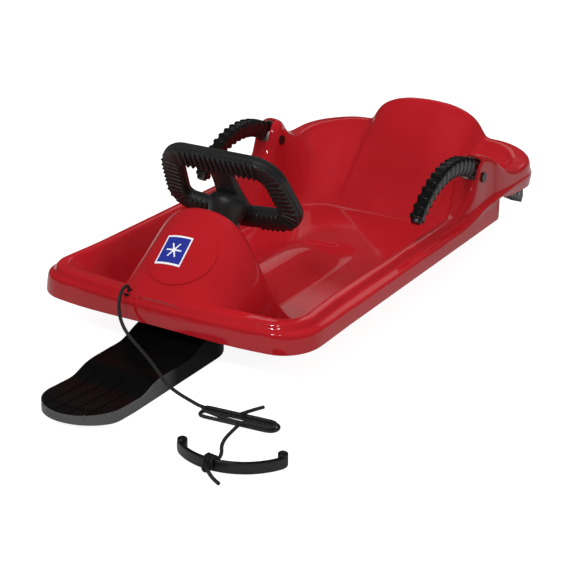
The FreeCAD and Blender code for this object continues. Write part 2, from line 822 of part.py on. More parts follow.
def rounded_wire(points, radii, to_space):
    """A closed wire of lines and arcs through a polygon with rounded corners."""
    edges = []
    spans = []
    count = len(points)
    for k in range(count):
        here = points[k]
        ax, ay = unit(points[k - 1][0] - here[0], points[k - 1][1] - here[1])
        bx, by = unit(points[(k + 1) % count][0] - here[0], points[(k + 1) % count][1] - here[1])
        half = math.acos(max(-1.0, min(1.0, ax * bx + ay * by))) / 2
        cut = radii[k] / math.tan(half)
        mx, my = unit(ax + bx, ay + by)
        middle = radii[k] / math.sin(half) - radii[k]
        start = (here[0] + ax * cut, here[1] + ay * cut)
        end = (here[0] + bx * cut, here[1] + by * cut)
        spans.append((start, (here[0] + mx * middle, here[1] + my * middle), end))
    for k, (start, middle, end) in enumerate(spans):
        edges.append(Part.LineSegment(to_space(*spans[k - 1][2]), to_space(*start)).toShape())
        edges.append(Part.Arc(to_space(*start), to_space(*middle), to_space(*end)).toShape())
    return Part.Wire(edges)


def wheel_slab(depth, back0, back1):
    """The wheel's outline, moved inwards by a depth, as a slab between two planes."""
    outline = [
        (0, -WHEEL_SAG),
        (WHEEL_BOTTOM_HALF, 0),
        (WHEEL_TOP_HALF, WHEEL_DEPTH),
        (-WHEEL_TOP_HALF, WHEEL_DEPTH),
        (-WHEEL_BOTTOM_HALF, 0),
    ]
    corner = WHEEL_CORNER - depth
    radii = [2 * WHEEL_CORNER, corner, corner, corner, corner]
    wire = rounded_wire(inset_polygon(outline, depth), radii, lambda x, up: wheel_point(x, up, back0))
    return Part.Face(wire).extrude(WHEEL_BACK * (back1 - back0))


def wheel_box(x, up, half_x, half_up, back0, back1, tilt):
    """A box in the wheel's plane, turned in that plane."""
    corners = []
    turn = math.radians(tilt)
    for dx, dy in ((-half_x, -half_up), (half_x, -half_up), (half_x, half_up), (-half_x, half_up)):
        px = x + dx * math.cos(turn) - dy * math.sin(turn)
        py = up + dx * math.sin(turn) + dy * math.cos(turn)
        corners.append(wheel_point(px, py, back0))
    return Part.Face(Part.makePolygon(corners + corners[:1])).extrude(WHEEL_BACK * (back1 - back0))


def wheel_ribs():
    """Cross ribs inside the open channel of the top limb and both side limbs."""
    ribs = []
    top_span = WHEEL_TOP_HALF - WHEEL_LIMB / 2
    for k in range(TOP_RIBS):
        x = -top_span + 2 * top_span * k / (TOP_RIBS - 1)
        ribs.append(wheel_box(x, WHEEL_DEPTH, RIB_THICK / 2, 1.5 * WHEEL_LIMB, -1, WHEEL_POCKET + 1, 0))
    lean = math.degrees(math.atan2(WHEEL_BOTTOM_HALF - WHEEL_TOP_HALF, WHEEL_DEPTH))
    low = WHEEL_LIMB * 0.8
    high = WHEEL_DEPTH - WHEEL_LIMB * 1.2
    for k in range(SIDE_RIBS):
        up = low + (high - low) * k / (SIDE_RIBS - 1)
        x = WHEEL_BOTTOM_HALF + (WHEEL_TOP_HALF - WHEEL_BOTTOM_HALF) * up / WHEEL_DEPTH - WHEEL_LIMB / 2
        ribs.append(wheel_box(x, up, WHEEL_LIMB, RIB_THICK / 2, -1, WHEEL_POCKET + 1, lean))
        ribs.append(wheel_box(-x, up, WHEEL_LIMB, RIB_THICK / 2, -1, WHEEL_POCKET + 1, -lean))
    return ribs


def steering_wheel():
    """The wheel: ring with a ribbed open front, centre spoke and hub."""
    ring = wheel_slab(0, 0, WHEEL_THICK).cut(wheel_slab(WHEEL_LIMB, -1, WHEEL_THICK + 1))
    ring = rounded_back(ring)
    outer = wheel_slab(WHEEL_FACE_WALL, -1, WHEEL_POCKET)
    pocket = outer.cut(wheel_slab(WHEEL_LIMB - WHEEL_FACE_WALL, -2, WHEEL_POCKET + 1))
    low_cut = WHEEL_LIMB / 2
    pocket = pocket.cut(wheel_box(0, low_cut - WHEEL_DEPTH, 2 * WHEEL_BOTTOM_HALF, WHEEL_DEPTH, -3, 30, 0))
    ring = ring.cut(pocket.cut(wheel_ribs()))
    top = WHEEL_DEPTH - WHEEL_LIMB + 1
    corners = [
        wheel_point(-SPOKE_FOOT_HALF, -WHEEL_SAG / 2, 2),
        wheel_point(SPOKE_FOOT_HALF, -WHEEL_SAG / 2, 2),
        wheel_point(SPOKE_HALF, top, 2),
        wheel_point(-SPOKE_HALF, top, 2),
    ]
    spoke = Part.Face(Part.makePolygon(corners + corners[:1])).extrude(WHEEL_BACK * (WHEEL_THICK - 4))
    hub = column(HUB_DIAMETER, HUB_LOW, HUB_HIGH)
    seat = cross_bore(BOLT_SEAT, WHEEL_BOLT_AT, -WHEEL_SEAT, WHEEL_SEAT)
    wheel = ring.fuse([spoke, hub, seat])
    bolt_hole = cross_bore(BOLT_DIAMETER, WHEEL_BOLT_AT, -2 * WHEEL_SEAT, 2 * WHEEL_SEAT)
    return wheel.cut([column(SHAFT_DIAMETER, HUB_LOW - 5, SHAFT_TOP), bolt_hole]).Solids[0]


def rounded_back(ring):
    """The ring with its rider-side edges rounded over."""
    edges = []
    for edge in ring.Edges:
        back = (edge.CenterOfMass - wheel_point(0, 0, 0)).dot(WHEEL_BACK)
        if abs(back - WHEEL_THICK) < 0.01:
            edges.append(edge)
    return ring.makeFillet(WHEEL_THICK * 0.4, edges)


# Ski
def ski_plan(half, z0, z1):
    """The ski's plan outline, two half circles joined by straight sides."""
    length = SKI_REAR + SKI_REACH - 2 * SKI_HALF
    front = place(0, SKI_HALF - SKI_REACH, z0)
    rear = place(0, SKI_REAR - SKI_HALF, z0)
    up = Vector(0, 0, 1)
    middle = Part.makeBox(2 * half, length, z1 - z0, front - Vector(half, 0, 0))
    ends = [Part.makeCylinder(half, z1 - z0, front, up), Part.makeCylinder(half, z1 - z0, rear, up)]
    return middle.fuse(ends).removeSplitter()


def ski_top(run):
    """Height of the ski's upper face along its run."""
    tip = smooth((SKI_RAMP_START - run) / (SKI_RAMP_START + SKI_REACH))
    ramp = smooth((run - SKI_RAMP_START) / (SKI_RAMP_END - SKI_RAMP_START))
    rise = smooth((run - SKI_DECK_END) / (SKI_BACK_START - SKI_DECK_END))
    height = SKI_WAIST_TOP + (SKI_TIP_TOP - SKI_WAIST_TOP) * tip + (SKI_DECK_TOP - SKI_WAIST_TOP) * ramp
    return height + (SKI_BACK_TOP - SKI_DECK_TOP) * rise


def ski_band(first, last, low, high, half):
    """A band across the ski that follows its upper face, between two heights from that face."""
    runs = spread(first, last, 16) + [last]
    edges = []
    for lift, order in ((high, 1), (low, -1)):
        curve = Part.BSplineCurve()
        curve.interpolate([place(-half, run, ski_top(run) + lift) for run in runs[::order]])
        edges.append(curve.toShape())
    for run, below, above in ((last, high, low), (first, low, high)):
        corners = [place(-half, run, ski_top(run) + lift) for lift in (below, above)]
        edges.append(Part.LineSegment(*corners).toShape())
    wire = Part.Wire(Part.__sortEdges__(edges))
    return Part.Face(wire).extrude(Vector(2 * half, 0, 0))


def ski_lines():
    """Fine raised lines on the ski: some along it and one arc round its tip."""
    half = SKI_HALF * 0.75
    skin = ski_band(-SKI_REACH + 8, SKI_LINE_END, -2, SKI_LINE_HEIGHT, half)
    lines = []
    for k in range(SKI_LINES):
        x = half * (2 * (k + 0.5) / SKI_LINES - 1)
        lines.append(block(x, x + SKI_LINE_WIDTH, -SKI_REACH, 0, 0, SKI_BACK_TOP))
    middle = place(0, SKI_ARC_RUN, 0)
    arc = Part.makeCylinder(SKI_ARC_RADIUS, SKI_BACK_TOP, middle)
    arc = arc.cut(Part.makeCylinder(SKI_ARC_RADIUS - SKI_LINE_WIDTH, SKI_BACK_TOP, middle))
    arc = arc.common(block(-SKI_HALF, SKI_HALF, -SKI_REACH, SKI_ARC_RUN, 0, SKI_BACK_TOP))
    return [line.common(skin) for line in lines + [arc]]


def ski():
    """The ski: lifted tip, ramp, open ribbed underside and a socket for the shaft."""
    wide = SKI_HALF + 1
    sole = (SKI_SOLE_START - SKI_REACH) / 2
    tip = -SKI_REACH - 1
    back = SKI_REAR + 1
    bottoms = [(back, 0), (SKI_SOLE_START, 0), (sole, SKI_TIP_LIFT / 4), (tip, SKI_TIP_LIFT)]
    above_sole = side_plate(bottoms + [(tip, 2 * SKI_BACK_TOP), (back, 2 * SKI_BACK_TOP)], -wide, wide)
    body = ski_band(tip, back, -2 * SKI_BACK_TOP, 0, wide).common(above_sole)
    body = body.common(ski_plan(SKI_HALF, -5, 100))
    half = SKI_HALF - SKI_WALL
    pocket = ski_band(SKI_POCKET_START, SKI_POCKET_END, -2 * SKI_BACK_TOP, -SKI_WALL, half)
    pocket = pocket.common(ski_plan(half, -5, 100))
    step = (SKI_POCKET_END - SKI_POCKET_START) / (SKI_POCKET_RIBS + 1)
    for k in range(SKI_POCKET_RIBS):
        run = SKI_POCKET_START + step * (k + 1)
        pocket = pocket.cut(block(-SKI_HALF, SKI_HALF, run - SKI_WALL / 2, run + SKI_WALL / 2, -5, 100))
    body = body.cut(pocket)
    socket = column(SOCKET_DIAMETER, SHAFT_BOTTOM - 40, SOCKET_TOP)
    socket = socket.common(block(-SKI_HALF, SKI_HALF, 0, SKI_REAR + 60, SOCKET_FLOOR, 200))
    seat = cross_bore(BOLT_SEAT, SKI_BOLT_AT, -SKI_SEAT, SKI_SEAT)
    gusset_top = on_axis(SOCKET_TOP)
    foot = SKI_BACK_TOP - SKI_WALL / 2
    gusset = side_plate(
        [
            (SKI_BACK_START + 6, foot),
            (gusset_top.y - FRONT_Y, foot),
            (gusset_top.y - FRONT_Y, gusset_top.z - 12),
            (gusset_top.y - FRONT_Y - 18, gusset_top.z - 12),
        ],
        -GUSSET_THICK / 2,
        GUSSET_THICK / 2,
    )
    body = body.fuse([socket, seat, gusset] + ski_lines())
    bolt_hole = cross_bore(BOLT_DIAMETER, SKI_BOLT_AT, -2 * SKI_SEAT, 2 * SKI_SEAT)
    shaft_hole = column(SHAFT_DIAMETER, SHAFT_BOTTOM, SOCKET_TOP + 5)
    clear = column(2 * SOCKET_DIAMETER, SOCKET_TOP, SOCKET_TOP + 60)
    return body.cut([shaft_hole, bolt_hole, clear]).Solids[0]


# Hand brakes, modelled on the left and mirrored
def bar(run0, z0, run1, z1, width, x0, x1):
    """A straight flat bar between two side points."""
    dx, dz = unit(run1 - run0, z1 - z0)
    half = width / 2
    points = [
        (run0 - dz * half, z0 + dx * half),
        (run1 - dz * half, z1 + dx * half),
        (run1 + dz * half, z1 - dx * half),
        (run0 + dz * half, z0 - dx * half),
    ]
    return side_plate(points, x0, x1)


ARM_X0 = BRAKE_X - ARM_THICK / 2
ARM_X1 = BRAKE_X + ARM_THICK / 2


def brake_arm():
    """The steel arm: pivot boss, tang into the grip and bar back to the claw."""
    boss = pivot_bore(ARM_BOSS, ARM_X0, ARM_X1)
    tang = bar(PIVOT_RUN, PIVOT_HEIGHT, TANG_RUN, TANG_HEIGHT, TANG_WIDTH, ARM_X0, ARM_X1)
    rear = bar(PIVOT_RUN, PIVOT_HEIGHT, ARM_END_RUN, ARM_END_HEIGHT, ARM_WIDTH, ARM_X0, ARM_X1)
    bore = pivot_bore(PIVOT_DIAMETER + 2 * RUNNING_GAP, ARM_X0 - 5, ARM_X1 + 5)
    return boss.fuse([tang, rear]).cut([bore, claw_rivet(0, 0), claw_rivet(1, 0)]).removeSplitter()


def arm_point(along, across):
    """A side point counted from the arm's rear end, along the arm and square to it."""
    dx, dz = unit(ARM_END_RUN - PIVOT_RUN, ARM_END_HEIGHT - PIVOT_HEIGHT)
    return ARM_END_RUN + dx * along - dz * across, ARM_END_HEIGHT + dz * along + dx * across


def brake_claw():
    """The claw: a toothed wedge clamped round the arm's rear end."""
    deep = CLAW_HALF_DEPTH
    points = [arm_point(-CLAW_LENGTH, deep), arm_point(CLAW_OVERHANG / 2, deep), arm_point(CLAW_OVERHANG, 0)]
    step = (CLAW_LENGTH + CLAW_OVERHANG) / CLAW_TEETH
    for k in range(CLAW_TEETH):
        along = CLAW_OVERHANG - step * k
        points.append(arm_point(along - 1, -deep))
        points.append(arm_point(along - step, CLAW_TOOTH - deep))
    half = CLAW_WIDTH / 2
    claw = side_plate(points, BRAKE_X - half, BRAKE_X + half)
    return claw.cut([brake_arm(), claw_rivet(0, 0), claw_rivet(1, 0)]).Solids[0]


def claw_rivet(index, stand):
    """One of the two rivets through claw and arm."""
    run, z = arm_point(-CLAW_LENGTH / 5 - RIVET_SPACING * index, 0)
    half = CLAW_WIDTH / 2 + stand
    start = place(BRAKE_X - half, run, z)
    return Part.makeCylinder(RIVET_DIAMETER / 2, 2 * half, start, Vector(1, 0, 0))


def circle_through(a, b, c):
    """Centre and radius of the circle through three flat points."""
    d = 2 * (a[0] * (b[1] - c[1]) + b[0] * (c[1] - a[1]) + c[0] * (a[1] - b[1]))
    aa = a[0] ** 2 + a[1] ** 2
    bb = b[0] ** 2 + b[1] ** 2
    cc = c[0] ** 2 + c[1] ** 2
    x = (aa * (b[1] - c[1]) + bb * (c[1] - a[1]) + cc * (a[1] - b[1])) / d
    y = (aa * (c[0] - b[0]) + bb * (a[0] - c[0]) + cc * (b[0] - a[0])) / d
    return (x, y), math.hypot(a[0] - x, a[1] - y)


def grip_station(t):
    """Side point on the grip's centre arc, its outward direction and the grip's depth there."""
    centre, radius = circle_through(GRIP_ROOT, GRIP_TOP, GRIP_TIP)
    first = math.atan2(GRIP_ROOT[1] - centre[1], GRIP_ROOT[0] - centre[0])
    last = math.atan2(GRIP_TIP[1] - centre[1], GRIP_TIP[0] - centre[0])
    angle = first + (last - first) * t
    out = (math.cos(angle), math.sin(angle))
    depth = GRIP_ROOT_DEPTH + (GRIP_TIP_DEPTH - GRIP_ROOT_DEPTH) * t ** 2
    return (centre[0] + radius * out[0], centre[1] + radius * out[1]), out, depth


def brake_grip():
    """The ribbed hand grip, curved over the rim and tapering to its tip."""
    half = GRIP_WIDTH / 2
    tops = []
    bottoms = []
    for k in range(9):
        point, out, depth = grip_station(k / 8)
        tops.append(place(BRAKE_X - half, point[0] + out[0] * depth / 2, point[1] + out[1] * depth / 2))
        bottoms.append(place(BRAKE_X - half, point[0] - out[0] * depth / 2, point[1] - out[1] * depth / 2))
    upper = Part.BSplineCurve()
    upper.interpolate(tops)
    lower = Part.BSplineCurve()
    lower.interpolate(bottoms)
    tip = Part.LineSegment(tops[-1], bottoms[-1]).toShape()
    root = Part.LineSegment(bottoms[0], tops[0]).toShape()
    wire = Part.Wire([upper.toShape(), tip, lower.toShape(), root])
    core = Part.Face(wire).extrude(Vector(GRIP_WIDTH, 0, 0))
    ribs = []
    for k in range(GRIP_RIBS):
        point, out, depth = grip_station((k + 0.9) / (GRIP_RIBS + 0.5))
        reach = depth / 2 + GRIP_RIB_STAND
        wide = half + GRIP_RIB_STAND / 2
        ribs.append(bar(
            point[0] - out[0] * reach,
            point[1] - out[1] * reach,
            point[0] + out[0] * reach,
            point[1] + out[1] * reach,
            GRIP_RIB_LENGTH,
            BRAKE_X - wide,
            BRAKE_X + wide,
        ))
    return core.fuse(ribs).cut(brake_arm()).Solids[0]


def ring_on_pin(diameter, x0, x1):
    """A plain ring seated on the brake pin."""
    return pivot_bore(diameter, x0, x1).cut(pivot_bore(PIVOT_DIAMETER, x0 - 1, x1 + 1))


# Tow rope
def cord_wire(points, name):
    """A wire of straight runs joined by the largest tangent arcs; prints the arcs' radii."""
    edges = []
    radii = []
    last = points[0]
    for before, here, after in zip(points, points[1:], points[2:]):
        a = before - here
        b = after - here
        shorter = min(a.Length, b.Length)
        turn = math.pi - a.getAngle(b)
        radius = 0.45 * shorter / math.tan(turn / 2)
        cut = 0.45 * shorter
        a.normalize()
        b.normalize()
        middle = (a + b).normalize() * (radius / math.cos(turn / 2) - radius)
        start = here + a * cut
        end = here + b * cut
        edges.append(Part.LineSegment(last, start).toShape())
        edges.append(Part.Arc(start, here + middle, end).toShape())
        radii.append(round(radius, 1))
        last = end
    edges.append(Part.LineSegment(last, points[-1]).toShape())
    print(name, "radii", radii)
    return Part.Wire(edges)


def tube(wire, diameter, name):
    """A round tube along a wire; prints how its volume compares with section times length."""
    edge = wire.OrderedEdges[0]
    start = edge.valueAt(edge.FirstParameter)
    direction = edge.tangentAt(edge.FirstParameter)
    section = Part.Wire([Part.makeCircle(diameter / 2, start, direction)])
    solid = wire.makePipeShell([section], True, False)
    expected = math.pi * diameter ** 2 / 4 * wire.Length
    print(name, "length", round(wire.Length, 1), "volume share", round(solid.Volume / expected, 4))
    return solid


def hank_place(u, v, z):
    """A point of the hank's own plane: along it, across it and above the floor."""
    turn = math.radians(HANK_TURN)
    x = HANK_X + u * math.cos(turn) - v * math.sin(turn)
    run = HANK_RUN + u * math.sin(turn) + v * math.cos(turn)
    return place(x, run, z)


def hank_wire():
    """Long loops that spiral inwards on the floor and outwards again one layer up."""
    half_run = HANK_LENGTH / 2 - HANK_HALF - ROPE / 2
    low = ROPE / 2 + 0.1
    high = low + HANK_RISE
    tracks = [HANK_HALF - HANK_PITCH / 2 * k for k in range(2 * HANK_LOOPS)]
    tracks = tracks + tracks[-2:0:-1]
    turn_count = 2 * HANK_LOOPS - 1
    edges = []
    for k, track in enumerate(tracks):
        way = 1 if k % 2 == 0 else -1
        v = way * track
        z = low if k < turn_count else high
        u0 = -way * half_run
        u1 = way * half_run
        if k == turn_count:
            middle = (low + high) / 2
            quarter = (high - low) / 8
            a = hank_place(u0, v, low)
            b = hank_place(u0 / 2, v, low + quarter)
            c = hank_place(0, v, middle)
            d = hank_place(u1 / 2, v, high - quarter)
            e = hank_place(u1, v, high)
            edges.append(Part.Arc(a, b, c).toShape())
            edges.append(Part.Arc(c, d, e).toShape())
        else:
            stop = u1 if k < len(tracks) - 1 else HANK_EXIT
            edges.append(Part.LineSegment(hank_place(u0, v, z), hank_place(stop, v, z)).toShape())
        if k < len(tracks) - 1:
            following = tracks[k + 1]
            radius = (track + following) / 2
            level = low if k < turn_count else high
            v_next = -way * following
            tip = hank_place(u1 + way * radius, (v + v_next) / 2, level)
            edges.append(Part.Arc(hank_place(u1, v, level), tip, hank_place(u1, v_next, level)).toShape())
    out = HANK_EXIT_RADIUS
    bend = out * (1 - math.sqrt(0.5))
    foot = hank_place(HANK_EXIT - out, v - out, high)
    elbow = hank_place(HANK_EXIT - out + bend, v - bend, high)
    edges.append(Part.Arc(hank_place(HANK_EXIT, v, high), elbow, foot).toShape())
    edges.append(Part.LineSegment(foot, hank_place(HANK_EXIT - out, v - out - ROPE, high)).toShape())
    return Part.Wire(edges)


def self_gap(wire, diameter):
    """Least gap of a wound tube to itself, measured on points along its middle line."""
    count = int(wire.Length / 2)
    points = wire.discretize(count)
    step = wire.Length / (count - 1)
    skip = int(2.5 * diameter / step)
    least = 1e9
    for i, p in enumerate(points):
        for q in points[i + skip:]:
            least = min(least, p.distanceToPoint(q))
    return least - diameter


def bar_circle():
    """Centre and radius of the tow bar's middle arc in plan."""
    return circle_through(BAR_LEFT, BAR_MIDDLE, BAR_RIGHT)


def bar_angle(point):
    """Angle of a plan point seen from the tow bar's centre."""
    centre = bar_circle()[0]
    return math.atan2(point[1] - centre[1], point[0] - centre[0])


def bar_place(angle, radius, z):
    """A point of the tow bar by angle, radius and height."""
    centre = bar_circle()[0]
    return place(centre[0] + radius * math.cos(angle), centre[1] + radius * math.sin(angle), z)


def bar_band(first, last, inner, outer, height):
    """A curved flat band on edge."""
    middle = (first + last) / 2
    angles = (first, middle, last)
    front = [bar_place(angle, outer, 0) for angle in angles]
    back = [bar_place(angle, inner, 0) for angle in angles[::-1]]
    edges = [
        Part.Arc(*front).toShape(),
        Part.LineSegment(front[-1], back[0]).toShape(),
        Part.Arc(*back).toShape(),
        Part.LineSegment(back[-1], front[0]).toShape(),
    ]
    return Part.Face(Part.Wire(edges)).extrude(Vector(0, 0, height))


KNOT_ANGLE = bar_angle(BAR_MIDDLE)


def bar_hole(diameter):
    """The rope's hole through the middle of the tow bar."""
    radius = bar_circle()[1]
    inner = bar_place(KNOT_ANGLE, radius - 2 * BAR_THICK, BAR_HEIGHT / 2)
    outer = bar_place(KNOT_ANGLE, radius + 2 * BAR_THICK, BAR_HEIGHT / 2)
    way = outer - inner
    return Part.makeCylinder(diameter / 2, way.Length, inner, way)


def tow_bar():
    """The curved bar, standing on edge, with taller slotted ends."""
    radius = bar_circle()[1]
    first = bar_angle(BAR_LEFT)
    last = bar_angle(BAR_RIGHT)
    half = BAR_THICK / 2
    band = bar_band(first, last, radius - half, radius + half, BAR_HEIGHT)
    end_turn = BAR_END_LENGTH / radius
    ends = []
    slots = []
    for angle, way in ((first, 1), (last, -1)):
        low = min(angle, angle + way * end_turn)
        high = low + end_turn
        inset = end_turn / 4
        end_height = BAR_HEIGHT + BAR_END_RISE
        ends.append(bar_band(low, high, radius - 2 * BAR_THICK, radius + half, end_height))
        slots.append(bar_band(low + inset, high - inset, radius - 3 * half, radius - half, 2 * end_height))
    return band.fuse(ends).cut(slots + [bar_hole(BAR_HOLE)]).removeSplitter()


def route(points):
    """Route points as vectors."""
    return [place(*point) for point in points]


def rope_pieces():
    """Rope, hank, lead to the bar, tail, loose end and knots."""
    nodes = {}
    hank = hank_wire()
    print("hank least gap to itself", round(self_gap(hank, ROPE), 2))
    nodes["rope_hank"] = tube(hank, ROPE, "hank")
    hank_edges = hank.OrderedEdges
    hank_start = hank_edges[0].valueAt(hank_edges[0].FirstParameter)
    hank_end = hank_edges[-1].valueAt(hank_edges[-1].LastParameter)
    ahead = hank_edges[0].tangentAt(hank_edges[0].FirstParameter)
    seat_depth = math.sqrt((KNOT / 2 + FACE_GAP) ** 2 - (ROPE_HOLE / 2) ** 2)
    knot_top = place(ROPE_HOLE_X, ROPE_HOLE_RUN, RIM_HEIGHT - WALL - seat_depth)
    rope = [knot_top] + route(ROPE_POINTS) + [hank_start - ahead * (3 * ROPE), hank_start]
    nodes["tow_rope"] = tube(cord_wire(rope, "rope"), ROPE, "rope")
    radius = bar_circle()[1]
    outside = bar_place(KNOT_ANGLE, radius + BAR_THICK / 2 + KNOT / 2, BAR_HEIGHT / 2)
    inside = bar_place(KNOT_ANGLE, radius - 3 * BAR_THICK, BAR_HEIGHT / 2)
    lead = [hank_end] + route(LEAD_POINTS) + [inside, outside]
    nodes["rope_lead"] = tube(cord_wire(lead, "lead"), ROPE, "lead")
    tail = [outside] + route(TAIL_POINTS)
    nodes["rope_tail"] = tube(cord_wire(tail, "tail"), ROPE, "tail")
    loose = cord_wire(route(LOOSE_END_POINTS), "loose end")
    nodes["rope_loose_end"] = tube(loose, ROPE, "loose end")
    return nodes, knot_top, outside


def knots(nodes, knot_top, outside):
    """The knot under the rim and the knot in front of the bar, cut to fit the rope."""
    inner = Part.makeSphere(KNOT / 2, knot_top).cut(nodes["tow_rope"])
    radius = bar_circle()[1]
    first = bar_angle(BAR_LEFT)
    last = bar_angle(BAR_RIGHT)
    keep_out = bar_band(first, last, 1, radius + BAR_THICK / 2, 3 * BAR_HEIGHT)
    front = Part.makeSphere(KNOT / 2, outside).cut([keep_out, nodes["rope_lead"]])
    nodes["rope_tail"] = nodes["rope_tail"].cut([front, nodes["rope_lead"]])
    nodes["rope_knot"] = inner
    nodes["bar_knot"] = front


def front_label():
    """A thin sticker that follows the nose's front slope."""
    grid = nose_grid()
    drop = Vector(0, 0, -WALL)
    outer = patch_surface(inset_grid(grid, -PAD_RISE - LABEL_GLUE - LABEL_THICK)).toShape().extrude(drop)
    lean = math.atan(NOSE_SLOPE)
    half_x = LABEL_WIDTH / 2
    half_run = LABEL_LENGTH / 2 * math.cos(lean)
    cutter = block(LABEL_X - half_x, LABEL_X + half_x, LABEL_RUN - half_run, LABEL_RUN + half_run, 50, 300)
    full = patch_surface(inset_grid(grid, -PAD_RISE - LABEL_GLUE)).toShape().extrude(2 * drop)
    return outer.common(cutter).cut(full).Solids[0]


def both_sides(nodes, name, shape):
    """Adds a left piece and its mirrored right piece."""
    nodes[name + "_left"] = shape
    nodes[name + "_right"] = mirror(shape)


def build():
    """All pieces by node name."""
    nodes = {"tub": tub()}
    nodes["front_label"] = front_label()
    nodes["upper_bush"] = bush(BOSS_PLATE, BOSS_PLATE - BUSH_LENGTH)
    nodes["lower_bush"] = bush(SLEEVE_END - BUSH_FLANGE_THICK, SLEEVE_END)
    washer = column(WASHER_DIAMETER, SOCKET_TOP, WASHER_TOP)
    nodes["thrust_washer"] = washer.cut(column(SHAFT_DIAMETER, SOCKET_TOP - 1, WASHER_TOP + 1))
    nodes["steering_shaft"] = shaft()
    nodes["steering_wheel"] = steering_wheel()
    nodes["wheel_bolt"] = cross_bolt(WHEEL_BOLT_AT, WHEEL_SEAT)
    nodes["wheel_nut"] = cross_nut(WHEEL_BOLT_AT, WHEEL_SEAT)
    nodes["ski"] = ski()
    nodes["ski_bolt"] = cross_bolt(SKI_BOLT_AT, SKI_SEAT)
    nodes["ski_nut"] = cross_nut(SKI_BOLT_AT, SKI_SEAT)
    both_sides(nodes, "brake_arm", brake_arm())
    both_sides(nodes, "brake_grip", brake_grip())
    both_sides(nodes, "brake_claw", brake_claw())
    rivets = Part.makeCompound([claw_rivet(0, RIVET_STAND), claw_rivet(1, RIVET_STAND)])
    both_sides(nodes, "claw_rivets", rivets)
    both_sides(nodes, "brake_pin", pivot_bore(PIVOT_DIAMETER, PIN_INNER, PIN_OUTER))
    both_sides(nodes, "brake_spacer", ring_on_pin(SPACER_DIAMETER, SPACER_INNER, ARM_X0 - FACE_GAP))
    both_sides(nodes, "brake_spring", ring_on_pin(SPRING_DIAMETER, ARM_X1 + FACE_GAP, SPRING_OUTER))
    cords, knot_top, outside = rope_pieces()
    knots(cords, knot_top, outside)
    nodes.update(cords)
    nodes["tow_bar"] = tow_bar()
    return nodes


def main():
    """Writes one file for each piece."""
    os.makedirs("parts", exist_ok=True)
    for name, shape in build().items():
        print(name, shape.ShapeType, len(shape.Solids), shape.isValid(), round(shape.Volume, 1))
        shape.exportStep("parts/" + name + ".step")


if __name__ == "__main__":
    main()
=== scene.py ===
import bmesh
import bpy
import math
from functools import partial
from mathutils import Matrix, Vector


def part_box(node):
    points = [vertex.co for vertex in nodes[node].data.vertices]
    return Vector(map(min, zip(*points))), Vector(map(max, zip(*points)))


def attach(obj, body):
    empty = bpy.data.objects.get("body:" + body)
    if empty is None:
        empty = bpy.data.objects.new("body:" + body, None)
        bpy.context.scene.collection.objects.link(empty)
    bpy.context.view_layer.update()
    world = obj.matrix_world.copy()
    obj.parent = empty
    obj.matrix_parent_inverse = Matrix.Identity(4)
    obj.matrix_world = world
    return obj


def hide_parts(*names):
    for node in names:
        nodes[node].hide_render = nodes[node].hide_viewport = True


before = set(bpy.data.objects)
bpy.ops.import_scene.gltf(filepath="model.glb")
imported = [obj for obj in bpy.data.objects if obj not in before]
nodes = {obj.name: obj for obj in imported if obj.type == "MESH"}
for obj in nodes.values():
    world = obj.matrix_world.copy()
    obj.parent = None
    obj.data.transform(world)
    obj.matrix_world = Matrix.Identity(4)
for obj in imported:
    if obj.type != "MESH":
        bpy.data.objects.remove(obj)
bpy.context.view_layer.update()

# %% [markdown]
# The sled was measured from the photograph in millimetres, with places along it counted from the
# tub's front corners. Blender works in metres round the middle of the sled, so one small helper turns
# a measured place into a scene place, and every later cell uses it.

FRONT_OFFSET = 353.5


def at(x, run, z):
    """Scene point in metres of a measured place in millimetres."""
    return Vector((x, run - FRONT_OFFSET, z)) / 1000


print("nodes in the frame:", len(nodes))

# %% [markdown]
# The photograph is taken from the front left, from a little above the wheel, with a long lens. The
# camera stands where a fit of the sled's corners put it, leans by less than a degree, and has no
# depth of field, so that every other view of the sled is just as sharp.

# %% Camera
CAMERA_PLACE = Vector((1.2165, -2.0470, 0.9843))
CAMERA_TARGET = Vector((0.0853, -0.1221, 0.0700))
CAMERA_ROLL = 0.85
CAMERA_LENS = 94.47
SENSOR_WIDTH = 36.0


def add_camera():
    """The camera at the photograph's place, turned to its target and rolled."""
    data = bpy.data.cameras.new("camera")
    data.sensor_width = SENSOR_WIDTH
    data.lens = CAMERA_LENS
    camera = bpy.data.objects.new("camera", data)
    bpy.context.scene.collection.objects.link(camera)
    look = (CAMERA_TARGET - CAMERA_PLACE).to_track_quat("-Z", "Y").to_matrix().to_4x4()
    roll = Matrix.Rotation(math.radians(CAMERA_ROLL), 4, "Z")
    camera.matrix_world = Matrix.Translation(CAMERA_PLACE) @ look @ roll
    return camera


bpy.context.scene.camera = add_camera()
print("camera distance", round((CAMERA_TARGET - CAMERA_PLACE).length, 3))

# %% [markdown]
# Finishes come next, because every piece needs one. A moulded plastic is never one flat colour: its
# pigment drifts slowly, its gloss breaks where it was handled, and its skin has a fine ripple from
# the mould. A small builder sets up the shader, and a few helpers add noise, ranges and bump to it.

# %% Finish helpers
def grey(value):
    """A colour with the same red, green and blue."""
    return (value, value, value)


def new_finish(name, colour, roughness, metallic=0.0):
    """A material with a Principled shader, and the handles needed to add nodes to it."""
    material = bpy.data.materials.new(name)
    material.use_nodes = True
    tree = material.node_tree
    shader = tree.nodes["Principled BSDF"]
    shader.inputs["Base Color"].default_value = (*colour, 1)
    shader.inputs["Roughness"].default_value = roughness
    shader.inputs["Metallic"].default_value = metallic
    return material, tree, shader


def add_noise(tree, source, scale, detail=3.0):
    """Noise on a coordinate socket."""
    noise = tree.nodes.new("ShaderNodeTexNoise")
    noise.inputs["Scale"].default_value = scale
    noise.inputs["Detail"].default_value = detail
    tree.links.new(source, noise.inputs["Vector"])
    return noise.outputs["Fac"]


